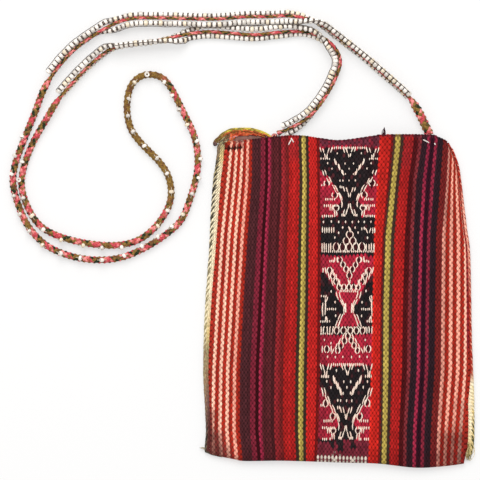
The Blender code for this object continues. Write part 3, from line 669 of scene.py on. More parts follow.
@dataclass
class Drape:
    """The warp: which dye each thread has, and where it runs down the face of the bag.

    The lines are the edges of chosen groups of stripes, each as its chart columns at the given chart rows.
    """

    rows: tuple[float, ...] = (143, 180, 235, 300, 370, 430, 460)
    lines: tuple[tuple[float, ...], ...] = (
        (224.5, 221.0, 216.6, 211.8, 208.0, 208.5, 210.0), (230.5, 226.8, 220.8, 216.5, 212.4, 211.0, 212.0),
        (252.2, 251.8, 247.5, 243.5, 239.9, 239.6, 242.5), (301.6, 302.6, 301.4, 300.5, 298.7, 298.3, 299.6),
        (319.5, 320.0, 320.5, 320.5, 320.0, 318.5, 317.0), (379.5, 377.0, 374.0, 372.5, 371.0, 369.5, 368.5),
        (395.5, 391.5, 385.7, 383.5, 383.1, 382.6, 381.9), (422.0, 416.4, 413.5, 411.5, 410.3, 406.8, 406.5),
        (449.4, 447.2, 442.5, 441.7, 441.2, 437.7, 436.9), (461.0, 460.5, 464.8, 465.0, 464.3, 459.6, 457.6),
        (466.0, 466.0, 470.5, 470.5, 470.4, 467.0, 466.0))
    groups: tuple[str, ...] = (
        "EDGE_RED 2",
        "CREAM 2 BRICK 2 CREAM 2 BRICK 2 CREAM 2 BRICK 2 WORN_CREAM 2 BRICK 2",
        "MAROON 6 DULL_MAGENTA 3 NIGHT 2 MAGENTA 2 PLUM 7 CRIMSON 3 DARK_RED 2 BRIGHT_RED 7 OLIVE 2",
        # The last two threads before the band are painted shade beside it
        "YELLOW 3 OLIVE 2 CLEAR_RED 6 SHADE_RED 2",
        "MOTIF_CRIMSON 28",
        "HOT_RED 5 SHADE_RED 1 OLIVE 1",
        "YELLOW 3 OLIVE 2 BRIGHT_RED 6 RIGHT_MAROON 3 RIGHT_CRIMSON 2",
        "BLACK 4 MAGENTA 2 RIGHT_PURPLE 3 DULL_MAGENTA 2 BLACK 4 DARK_RED 4",
        "DULL_CREAM 2 BRICK 2 WORN_CREAM 2 BRICK 2 WORN_CREAM 2 BRICK 2",
        "CREAM 2 EDGE_RED 2")
    band_group: int = 4
    crowding: float = 0.0013
    thin: float = 0.78

    def __post_init__(self) -> None:
        """Counts the threads and sets the lines in metres."""
        groups = [read_stripes(words) for words in self.groups]
        stripes = [stripe for group in groups for stripe in group]
        self.dyes: list[Dye] = [dye for dye, count in stripes for _ in range(count)]
        self.count = len(self.dyes)
        self.stripe_edges = np.cumsum([0, *(count for _, count in stripes)])
        self.line_threads = np.cumsum([0, *(sum(count for _, count in group) for group in groups)])
        self.band = slice(*map(int, self.line_threads[self.band_group:self.band_group + 2]))
        creams = (Dye.CREAM, Dye.DULL_CREAM, Dye.WORN_CREAM)
        self.marks = np.cumsum([0.0, *(self.thin if dye in creams else 1.0 for dye in self.dyes)])
        places = chart_place(np.array(self.lines), np.array(self.rows), FACE_HEIGHT)
        self.line_x, self.line_y = places[..., 0], places[0, :, 1]

    def x_at(self, plan: BagPlan, threads: Array, y: Array) -> Array:
        """The x of threads, each at a y of its own, crowded where the cloth turns down past the visible edge.

        Args:
            plan: The bag's plan.
            threads: Thread numbers from the left edge; halves are the middles of threads.
            y: The y of each.

        Returns:
            The x of each.
        """
        lines = np.stack([np.interp(-y, -self.line_y, x) for x in self.line_x])
        index = np.clip(np.searchsorted(self.line_threads, threads, side="right") - 1, 0, len(self.groups) - 1)
        marks, ends = np.interp(threads, np.arange(self.count + 1), self.marks), self.marks[self.line_threads]
        share = (marks - ends[index]) / (ends[index + 1] - ends[index])
        column = np.arange(len(threads))
        x = lines[index, column] * (1 - share) + lines[index + 1, column] * share
        left, right = plan.left_inside.crossing(y), plan.right_inside.crossing(y)
        past = np.maximum(0.0, x - (right - self.crowding))
        x = np.where(past > 0, right - self.crowding / (1 + past / self.crowding), x)
        past = np.maximum(0.0, left + self.crowding - x)
        x = np.where(past > 0, left + self.crowding / (1 + past / self.crowding), x)
        return np.where(threads <= 0, left, np.where(threads >= self.count, right, x))


@dataclass(frozen=True)
class Tint:
    """A patch of the cloth given another colour: some patches are painted shade where the cloth curves away, turns
    under or dips, some are changes in its own colour.
    """

    left: float
    right: float
    top: float
    bottom: float
    dye: Dye
    strength: float
    soft: float = 2.0
    only: Optional[tuple[Dye, ...]] = None

    def lay(self, colours: Array, columns: Array, rows: Array, dyes: Array) -> Array:
        """Lays the patch over colours of the cloth.

        Args:
            colours: Linear colours by pick and thread.
            columns: Their chart columns.
            rows: Their chart rows.
            dyes: The name of the dye of each.

        Returns:
            The changed colours.
        """
        mask = self.strength * (smooth_step(self.left - self.soft, self.left + self.soft, columns)
                                * smooth_step(-self.right - self.soft, -self.right + self.soft, -columns)
                                * smooth_step(self.top - self.soft, self.top + self.soft, rows)
                                * smooth_step(-self.bottom - self.soft, -self.bottom + self.soft, -rows))
        if self.only is not None:
            mask = mask * np.isin(dyes, [dye.name for dye in self.only])
        return blended(colours, self.dye.linear, mask[..., None])


@dataclass(frozen=True)
class Float:
    """One warp float of the figured band: a cream thread that lies over its neighbours for a few picks."""

    places: tuple[tuple[float, float], ...]
    width: float = 1.15


@dataclass
class BandDraft:
    """The woven figures of the middle band, drawn in chart squares.

    A figure is drawn from its middle line (across) and down from its top, and set in the band by its top row, its
    stretch downwards and its narrowing.
    """

    middle: Pairs = ((147, 349.3), (245, 349.3), (308, 348.4), (363, 347.3), (440, 345.6))
    bottom: float = 441.0
    header: float = 146.5
    stray_creams: float = 448.0
    fringe: float = 456.8
    dark_rows: Pairs = ((243.4, 255.0), (326.8, 333.8))
    tick_pitch: float = 2.1
    tick_length: float = 2.7
    foot_streaks: tuple[tuple[float, float, float], ...] = ((331.4, 335.0, 449.0), (337.0, 343.6, 452.0),
                                                            (351.0, 355.2, 450.0))

    def __post_init__(self) -> None:
        """Draws every figure."""
        self.floats: list[Float] = []
        self.noise = np.random.default_rng(12)
        self.black: list[Array] = []
        self.holes: list[tuple[float, float, float, float]] = []
        self.top, self.stretch, self.narrow = 0.0, 1.0, 1.0
        self.set_figure(self.header, 1.0, 1.0)
        self.cups_and_wedge()
        self.shoulders()
        self.set_figure(255.0, 1.0, 1.0)
        self.lozenges()
        self.set_figure(362.9, 1.1, 0.92)
        self.cups_and_wedge()

    def set_figure(self, top: float, stretch: float, narrow: float) -> None:
        """Sets where the next figure is drawn."""
        self.top, self.stretch, self.narrow = top, stretch, narrow

    def square(self, across: float, down: float) -> tuple[float, float]:
        """The chart square of a place in the present figure."""
        row = self.top + down * self.stretch
        return float(eased(self.middle, row)) + across * self.narrow, row

    def lay(self, *places: tuple[float, float], width: float = 1.15, both: bool = False) -> None:
        """Lays one float through places of the figure, and its mirror image where both sides have it."""
        for side in ((1, -1) if both else (1,)):
            shake = self.noise.normal(0.0, 0.14, 2)
            squares = tuple((column + shake[0], row + shake[1])
                            for column, row in (self.square(side * x, y) for x, y in places))
            if max(row for _, row in squares) < self.bottom:
                self.floats.append(Float(squares, width * (0.9 + 0.2 * float(self.noise.random()))))

    def tick(self, across: float, down: float, length: float, lean: float = 0.0, both: bool = False,
             width: float = 1.15) -> None:
        """Lays one short upright float."""
        self.lay((across - lean / 2, down - length / 2), (across, down), (across + lean / 2, down + length / 2),
                 both=both, width=width)

    def ticks(self, left: float, right: float, down: float, length: Optional[float] = None,
              pitch: Optional[float] = None, both: bool = False) -> None:
        """Lays a dotted row of short upright floats."""
        count = max(1, round((right - left) / (pitch or self.tick_pitch)))
        for step in range(count + 1):
            self.tick(left + (right - left) * step / count, down, length or self.tick_length, both=both)

    def dots(self, *places: tuple[float, float], both: bool = False) -> None:
        """Lays single crossings that show as dots."""
        for across, down in places:
            self.tick(across, down, 2.5, both=both, width=1.3)

    def oval(self, across: float, down: float, width: float = 5.0, height: float = 7.2,
             both: bool = False) -> None:
        """Lays two floats that part round a dark hole."""
        for side in (-1, 1):
            self.lay(*((across + side * width * wide, down + height * tall) for wide, tall in
                       ((0.12, -0.5), (0.42, -0.25), (0.5, 0.0), (0.42, 0.25), (0.12, 0.5))), both=both)
        for side in ((1, -1) if both else (1,)):
            self.holes.append((*self.square(side * across, down), width * 0.42, height * 0.42))

    def cup(self, across: float, down: float, turned: int = 1, tail: float = 6.5, both: bool = False) -> None:
        """Lays a small cup on a stem, the band's smallest figure; turned -1 stands it on its head."""
        def at(x: float, y: float) -> tuple[float, float]:
            return across + x, down + (y if turned > 0 else 6.2 + tail - y)
        for side in (-1, 1):
            self.lay(at(6.2 * side, 0.2), at(5.6 * side, 3.2), at(4.5 * side, 6.2), both=both)
            self.lay(at(3.7 * side, 0.4), at(2.9 * side, 3.2), at(1.9 * side, 6.4), both=both)
            self.lay(at(1.5 * side, 6.2), at(0.9 * side, 6.2 + tail / 2), at(0.6 * side, 6.2 + tail), both=both)

    def cups_and_wedge(self) -> None:
        """The upper figure down to its waist: a dotted line, three cups and a black wedge with a cream edge."""
        self.black.append(np.array([self.square(x, y) for x, y in (
            (-30, 2), (30, 2), (29.5, 21), (21, 32.5), (14.5, 42.5), (7.5, 54), (11.8, 62), (11.8, 70), (32, 70.2),
            (32, 106.4), (-32, 106.4), (-32, 70.2), (-12.3, 70), (-12, 61), (-6.8, 53.5), (-14, 42), (-21, 31.5),
            (-30, 22.5))]))
        self.ticks(-17, 17, 1.4)
        self.cup(0, 0.2, tail=4.8)
        self.cup(23.4, 0.2, tail=7.0, both=True)
        self.dots((12, 6.8), (4, 17), (4, 27.6), (22, 16.8), (17.6, 22.2), both=True)
        self.dots((0, 22.2), (-9.4, 34.2), (-6.5, 34.2), (0, 34.2), (6, 34.2))
        self.ticks(20, 28, 12.2, both=True)
        for across, down in ((14.6, 11.2), (10.8, 16.2), (7.4, 21.4)):
            self.lay((across + 0.5, down), (across, down + 3.6), (across - 1.0, down + 7.6), both=True, width=1.5)
            self.lay((across - 0.7, down + 1.6), (across - 1.2, down + 4.8), (across - 2.1, down + 8.2), both=True)
        for shift in (0.0, 2.6):
            self.lay((27.6 - shift, 22.4), (26.2 - shift, 26.2), (25.4 - shift, 30.2), both=True)
            self.lay((23.6 - shift, 29.6), (21.6 - shift, 33.6), (20.0 - shift, 38.2), both=True)
            self.lay((18.2 - shift, 37.4), (15.6 - shift, 41.4), (13.8 - shift, 46.2), both=True)
            self.lay((11.8 - shift / 2, 45.6), (9.6 - shift / 2, 49.4), (8.2 - shift / 2, 54.2), both=True)
        self.lay((8.0, 53.8), (7.4, 57.5), (7.9, 61.2), both=True)
        self.oval(22.4, 36.6, width=5.6, both=True)
        self.oval(14.6, 48.6, width=5.6, both=True)
        self.ticks(25.4, 27.6, 38.5, both=True)
        self.cup(0, 39.6, tail=5.8)
        self.tick(-9.2, 40.4, 3.2)
        self.tick(-7.2, 40.4, 3.2)
        self.ticks(15.0, 23.8, 52.8, both=True)
        self.ticks(12.4, 25.0, 59.2, both=True)
        self.tick(19.4, 61.6, 5.0, both=True)
        self.tick(17.2, 61.6, 5.0, both=True)
        self.oval(13.4, 61.4, width=5.4, height=6.4, both=True)
        self.lay((13.4, 63.8), (12.6, 66.6), (12.4, 69.8), both=True)
        self.lay((15.4, 63.8), (14.8, 66.6), (14.8, 69.6), both=True)
        self.ticks(14.6, 27.0, 69.6, both=True)
        self.cup(0, 56.8, turned=-1, tail=5.8)
        self.ticks(4.6, 7.4, 68.6, both=True, pitch=1.4)

    def shoulders(self) -> None:
        """The upper figure below its waist: black shoulders, dots, and a cream pyramid on a band of ovals."""
        self.dots((-26, 75.4), (-18, 75.4), (-11, 75.6), (-4, 75.4), (3, 75.6), (9, 75.4), (15, 75.6),
                  (21.5, 75.4), (-7, 81.2), (6, 81.2), (-11, 86.0), (8.6, 86.2), (-14.6, 91.0), (18, 91.0))
        self.ticks(-27, -15.6, 83.6, length=6.0, pitch=2.5)
        self.ticks(12.4, 15.0, 82.0, length=3.4)
        self.lay((15.5, 81.0), (17.2, 84.0), (18.2, 87.0))
        self.lay((21.8, 81.0), (20.6, 84.0), (19.6, 87.0))
        self.ticks(23.4, 25.4, 84.0, length=6.0)
        self.lay((-1.4, 79.4), (-0.2, 82.4), (0.2, 85.6))
        self.lay((-0.4, 80.0), (1.0, 83.0), (1.4, 86.0))
        self.oval(0.3, 88.2, width=6.6, height=8.0)
        self.oval(-3.2, 94.4, width=6.2, height=8.4)
        self.oval(3.4, 94.4, width=6.2, height=8.4)
        for across in (-13.4, -6.8, -0.2, 6.2, 12.4):
            self.oval(across, 100.6, width=5.9, height=9.6)
        self.ticks(-27.2, -18.6, 100.6, length=8.6, pitch=2.3)
        self.ticks(16.8, 24.6, 100.8, length=8.4, pitch=2.3)
        self.ticks(-27.2, 24.8, 105.0, length=2.2)

    def lozenges(self) -> None:
        """The middle figure: nested chains of ovals on crimson, a bracketed waist, and chains that fall away."""
        for side in (-1, 1):
            self.black.append(np.array([self.square(side * x, y) for x, y in (
                (32, 16.5), (25.5, 17.5), (21, 23), (17.4, 29), (13.5, 36), (11.6, 42), (7.6, 48), (4.4, 52),
                (4.6, 58), (7.4, 62.5), (10.6, 66), (12, 72), (32, 72))]))
        for across, down in ((9.4, 5.0), (6.3, 9.8), (3.2, 14.4)):
            self.oval(across, down, width=4.8, height=6.4, both=True)
        self.lay((12.0, 1.8), (12.4, 4.6), (11.8, 7.6), both=True)
        self.tick(14.6, 4.2, 5.6, both=True)
        self.ticks(15.6, 19.4, 6.2, both=True)
        self.oval(0.4, 20.4, width=5.2, height=6.8)
        self.lay((-0.9, 24.2), (-0.2, 27.0), (0.3, 30.0))
        self.lay((1.6, 24.2), (0.9, 27.0), (0.6, 30.0))
        for across, down in ((19.6, 15.4), (16.2, 20.6), (12.8, 26.4)):
            self.oval(across, down, width=4.9, height=6.8, both=True)
            self.lay((across + 4.6, down - 3.2), (across + 4.0, down + 0.4), (across + 2.8, down + 4.0), both=True)
            self.lay((across - 3.6, down - 1.6), (across - 3.4, down + 2.0), (across - 4.2, down + 5.2), both=True)
        self.tick(26.0, 15.0, 6.0, both=True)
        for across in (-9.4, -4.8, 0.0, 4.8, 9.4):
            self.oval(across, 32.2, width=4.5, height=7.0)
        self.ticks(-8.6, 8.6, 36.2, length=2.2, pitch=1.9)
        for shift in (0.0, 2.9):
            self.lay((9.4 + shift, 36.4), (8.8 + shift, 40.4), (7.2 + shift, 44.4), both=True)
            self.lay((7.0 + shift * 0.6, 43.8), (5.2 + shift * 0.5, 47.8), (4.2 + shift * 0.3, 51.4), both=True)
        self.lay((3.0, 48.0), (3.4, 52.6), (2.8, 57.6), both=True, width=1.9)
        self.lay((4.6, 50.0), (4.9, 54.4), (4.4, 59.4), both=True)
        for shift in (0.0, 2.6):
            self.lay((5.2 + shift, 58.6), (7.0 + shift, 62.2), (8.0 + shift, 65.8), both=True)
            self.lay((8.4 + shift, 65.2), (9.2 + shift, 68.4), (10.6 + shift, 71.8), both=True)
        self.lay((25.6, 47.0), (26.2, 53.6), (25.6, 60.8), both=True, width=1.3)
        self.lay((23.2, 41.4), (22.9, 51.0), (23.4, 61.0), both=True, width=1.3)
        self.lay((20.8, 41.2), (21.2, 44.0), (22.4, 47.2), both=True)
        self.ticks(22.6, 27.4, 41.0, length=2.2, both=True)
        self.lay((22.8, 60.6), (21.6, 63.4), (20.6, 66.4), both=True)
        self.tick(22.8, 63.6, 5.0, both=True)
        self.ticks(18.8, 27.6, 66.4, length=2.3, both=True)
        self.ticks(13.2, 21.2, 54.0, length=2.4, pitch=2.0, both=True)
        self.dots((13.4, 47.2), (13.0, 61.0), (17.4, 36.0), both=True)
        for across in (-11.4, -4.6, 2.2, 8.4, 14.6):
            self.oval(across, 75.4, width=5.2, height=7.6)
        self.ticks(-27.0, -24.8, 75.4, length=6.4)
        self.ticks(-21.0, -15.4, 75.4, length=6.6, pitch=2.7)
        self.ticks(18.6, 23.6, 75.4, length=6.6, pitch=2.3)
        self.ticks(-27.0, 23.6, 72.2, length=1.8, pitch=2.9)
        self.ticks(-27.0, -16.0, 78.6, length=2.0)
        for across, down in ((0.0, 80.6), (3.3, 85.4), (6.5, 90.4), (9.8, 95.4)):
            self.oval(across, down, width=4.6, height=6.6, both=across > 0)
            self.lay((across + 3.9, down - 2.4), (across + 4.9, down + 0.6), (across + 6.2, down + 3.4), both=True)
        self.dots((-23.4, 84.6), (17.4, 84.9), (-17.0, 88.0))
        self.ticks(25.4, 27.6, 94.2, length=7.4, both=True)
        self.oval(20.8, 94.2, width=5.0, height=7.6, both=True)
        self.tick(16.4, 94.2, 6.4, both=True)
        self.dots((-20, 101.6), (-12, 102.0), (-4.6, 101.6), (4.0, 102.0), (12.4, 101.6), (19.6, 102.0))

    def inside(self, polygon: Array, columns: Array, rows: Array) -> Array:
        """Tells which chart places lie inside a polygon."""
        within = np.zeros(columns.shape, bool)
        for (x1, y1), (x2, y2) in zip(polygon, np.roll(polygon, -1, axis=0)):
            crossed = (rows < y1) != (rows < y2)
            reach = x1 + (rows - y1) * (x2 - x1) / ((y2 - y1) if y2 != y1 else 1.0)
            within ^= crossed & (columns < reach)
        return within

    def ground(self, columns: Array, rows: Array, noise: np.random.Generator) -> Array:
        """The colour of the band behind its floats.

        Args:
            columns: Chart columns of the places.
            rows: Their chart rows.
            noise: The source of the yarn's unevenness.

        Returns:
            A linear colour for each place.
        """
        rose = smooth_step(0.35, 0.75, noise.random(columns.shape))[..., None]
        colours = blended(Dye.MOTIF_CRIMSON.linear, Dye.MOTIF_ROSE.linear, rose * 0.35)
        # The red is darker down the band's left side
        left = smooth_step(-334, -322, -columns)[..., None] * smooth_step(186, 200, rows)[..., None] * 0.5
        colours = blended(colours, Dye.MOTIF_ROSE.linear, left)
        foot = smooth_step(self.bottom - 1, self.bottom + 1, rows)[..., None]
        colours = blended(colours, Dye.FOOT.linear, foot)
        dark = np.zeros(columns.shape, bool)
        for polygon in self.black:
            dark |= self.inside(polygon, columns, rows)
        dark &= rows < self.bottom
        for low, high, end in self.foot_streaks:
            dark |= (columns > low) & (columns < high) & (rows >= self.bottom) & (rows < end)
        for low, high in self.dark_rows:
            dark |= (rows > low) & (rows < high)
        stray = smooth_step(0.80, 0.95, noise.random(columns.shape))[..., None]
        colours = np.where(dark[..., None], blended(Dye.MOTIF_BLACK.linear, Dye.MAROON.linear, stray), colours)
        for column, row, wide, tall in self.holes:
            hole = ((columns - column) / wide) ** 2 + ((rows - row) / tall) ** 2 < 1.0
            colours[hole] = Dye.MOTIF_HOLE.linear
        every_second = np.arange(columns.shape[1]) % 2 == 0
        strays = (noise.random(columns.shape) > 0.955) & (rows > self.stray_creams)
        colours[(every_second & (rows > self.fringe)) | strays] = Dye.MOTIF_CREAM.linear * 0.8
        header = smooth_step(-self.header - 1, -self.header + 1, -rows)[..., None]
        light = smooth_step(0.6, 0.9, noise.random(columns.shape))[..., None] * 0.5
        return blended(colours, blended(Dye.HEADER.linear, Dye.MOTIF_CRIMSON.linear, light), header)


def add_node(tree: NodeTree, kind: str, settings: Optional[dict] = None, links: Optional[dict] = None) -> Node:
    """Adds one node to a material.

    Args:
        tree: The material's node tree.
        kind: The node's type, without its first words.
        settings: Values by the name of a property, or by the name or index of an input socket.
        links: What feeds an input, by its name or index: an output socket, or a node for its first output.

    Returns:
        The new node.
    """
    node = tree.nodes.new("ShaderNode" + kind)
    for name, value in (settings or {}).items():
        if isinstance(name, str) and hasattr(node, name):
            setattr(node, name, value)
        else:
            node.inputs[name].default_value = value
    for name, source in (links or {}).items():
        tree.links.new(source.outputs[0] if isinstance(source, Node) else source, node.inputs[name])
    return node


def new_material(name: str) -> tuple[Material, NodeTree]:
    """An empty material and its node tree."""
    material = bpy.data.materials.new(name)
    material.use_nodes = True
    material.node_tree.nodes.clear()
    return material, material.node_tree


@dataclass(frozen=True)
class Finish:
    """A finish that shades and bumps the colours of a piece's dye layer."""

    name: str
    roughness: float

    def layers(self, tree: NodeTree) -> Layers:
        """Adds its nodes and gives its light, its height, the bump's strength and depth, and shader settings."""
        raise NotImplementedError

    def make(self) -> Material:
        """Makes the material."""
        material, tree = new_material(self.name)
        dye = add_node(tree, "Attribute", {"attribute_name": "dye"})
        light, height, strength, depth, settings = self.layers(tree)
        colour = add_node(tree, "VectorMath", {"operation": "SCALE"}, {"Vector": dye, "Scale": light})
        bump = add_node(tree, "Bump", {"Strength": strength, "Distance": depth}, {"Height": height})
        shader = add_node(tree, "BsdfPrincipled", {"Roughness": self.roughness, **settings},
                          {"Base Color": colour, "Normal": bump})
        add_node(tree, "OutputMaterial", links={"Surface": shader})
        return material


@dataclass(frozen=True)
class WarpFacedWool(Finish):
    """Hand-spun two-ply wool, dyed and woven warp-faced: matt, with soft ribs, painted shade in the pits and
    raised fibres.
    """

    name: str = "warp_faced_wool"
    roughness: float = 0.95
    sheen: float = 0.03
    pit_shade: float = 0.26

    def layers(self, tree: NodeTree) -> Layers:
        """Adds painted shade in the pits between the floats, the fibres of the threads and the wear of the cloth.
        """
        relief = add_node(tree, "Attribute", {"attribute_name": "relief"}).outputs["Fac"]
        # Painted shade: the colour darkens where the weave sinks into the pits between the floats
        pits = add_node(tree, "MapRange", {"interpolation_type": "SMOOTHSTEP", "From Max": 0.62,
                                           "To Min": self.pit_shade, "To Max": 1.0}, {"Value": relief})
        thread = add_node(tree, "UVMap", {"uv_map": "thread"})
        # One unit is one warp thread across and one pick along: the fibres run a few to a thread and along it
        slant = add_node(tree, "Mapping", {"Scale": (1.7, 0.7, 1.0), "Rotation": (0.0, 0.0, 0.30)},
                         {"Vector": thread})
        fibre = add_node(tree, "TexNoise", {"noise_dimensions": "2D", "Scale": 1.7, "Detail": 3.0},
                         {"Vector": slant})
        shade = add_node(tree, "MapRange", {**MIDDLE, "To Min": 0.84, "To Max": 1.14}, {"Value": fibre})
        place = add_node(tree, "TexCoord").outputs["Object"]
        # Wear and fading in patches about 30 mm across
        wear = add_node(tree, "TexNoise", {"Scale": 34.0, "Detail": 2.0}, {"Vector": place})
        fading = add_node(tree, "MapRange", {**MIDDLE, "To Min": 0.94, "To Max": 1.06}, {"Value": wear})
        depth = add_node(tree, "Math", {"operation": "MULTIPLY"}, {0: pits, 1: shade})
        light = add_node(tree, "Math", {"operation": "MULTIPLY"}, {0: depth, 1: fading})
        height = add_node(tree, "Math", {"operation": "MULTIPLY_ADD", 1: 0.6}, {0: fibre, 2: relief})
        return (light, height, 0.45, 0.00022,
                {"Specular IOR Level": 0.10, "Sheen Weight": self.sheen, "Sheen Roughness": 0.5})


@dataclass(frozen=True)
class TwistedYarn(Finish):
    """A strand of plied yarn: the plies turn round each other and leave slanting grooves, darkened with painted
    shade, with loose fibres.
    """

    name: str = "twisted_wool_yarn"
    roughness: float = 0.9
    plies: float = 2.0
    sheen: float = 0.05
    groove_shade: float = 0.62
    fuzz: float = 0.30

    def layers(self, tree: NodeTree) -> Layers:
        """Adds the grooves between the plies, darkened with painted shade, and the fibres on them."""
        parts = add_node(tree, "SeparateXYZ", links={0: add_node(tree, "UVMap", {"uv_map": "thread"})})
        around = add_node(tree, "Math", {"operation": "MULTIPLY_ADD", 1: self.plies},
                          {0: parts, 2: parts.outputs["Y"]})
        turn = add_node(tree, "Math", {"operation": "MULTIPLY", 1: 2 * math.pi}, {0: around})
        wave = add_node(tree, "Math", {"operation": "SINE"}, {0: turn})
        # Painted shade: the colour darkens down into the grooves between the plies
        groove_shade = add_node(tree, "MapRange", {"interpolation_type": "SMOOTHSTEP", "From Min": -1.0,
                                             "From Max": 0.1, "To Min": self.groove_shade, "To Max": 1.0},
                          {"Value": wave})
        place = add_node(tree, "TexCoord").outputs["Object"]
        # Fibres are drawn about 0.4 mm apart, coarser than real ones, so that they show
        fibre = add_node(tree, "TexNoise", {"Scale": 2400.0, "Detail": 2.0}, {"Vector": place})
        shade = add_node(tree, "MapRange", {**MIDDLE, "To Min": 1 - self.fuzz / 2, "To Max": 1 + self.fuzz / 2},
                         {"Value": fibre})
        light = add_node(tree, "Math", {"operation": "MULTIPLY"}, {0: groove_shade, 1: shade})
        height = add_node(tree, "Math", {"operation": "MULTIPLY_ADD", 1: 0.5}, {0: fibre, 2: groove_shade})
        return (light, height, 0.5, 0.0002,
                {"Specular IOR Level": 0.15, "Sheen Weight": self.sheen, "Sheen Roughness": 0.45})


@dataclass(frozen=True)
class SeedBeadGlass(Finish):
    """Opaque white seed beads of drawn glass, tumbled in a fire: glossy, a little milky and off-white."""

    name: str = "opaque_white_seed_bead_glass"
    roughness: float = 0.22
    coat: float = 0.35

    def layers(self, tree: NodeTree) -> Layers:
        """Adds the grime of handling."""
        place = add_node(tree, "TexCoord").outputs["Object"]
        # Spots of grime about 1 mm across
        grime = add_node(tree, "TexNoise", {"Scale": 900.0, "Detail": 2.0}, {"Vector": place})
        shade = add_node(tree, "MapRange", {**MIDDLE, "To Min": 0.93, "To Max": 1.0}, {"Value": grime})
        return shade, grime, 0.08, 0.0001, {"IOR": 1.52, "Coat Weight": self.coat, "Coat Roughness": 0.15}


@dataclass
class Finishes:
    """The materials of the whole bag, made once."""

    def __post_init__(self) -> None:
        """Makes them."""
        self.wool = WarpFacedWool().make()
        self.yarn = TwistedYarn().make()
        self.braid = TwistedYarn(name="braided_acrylic_yarn", sheen=0.08, groove_shade=0.7, fuzz=0.34).make()
        self.cotton = TwistedYarn(name="white_cotton_thread", sheen=0.02, groove_shade=0.72, fuzz=0.1).make()
        self.beads = SeedBeadGlass().make()


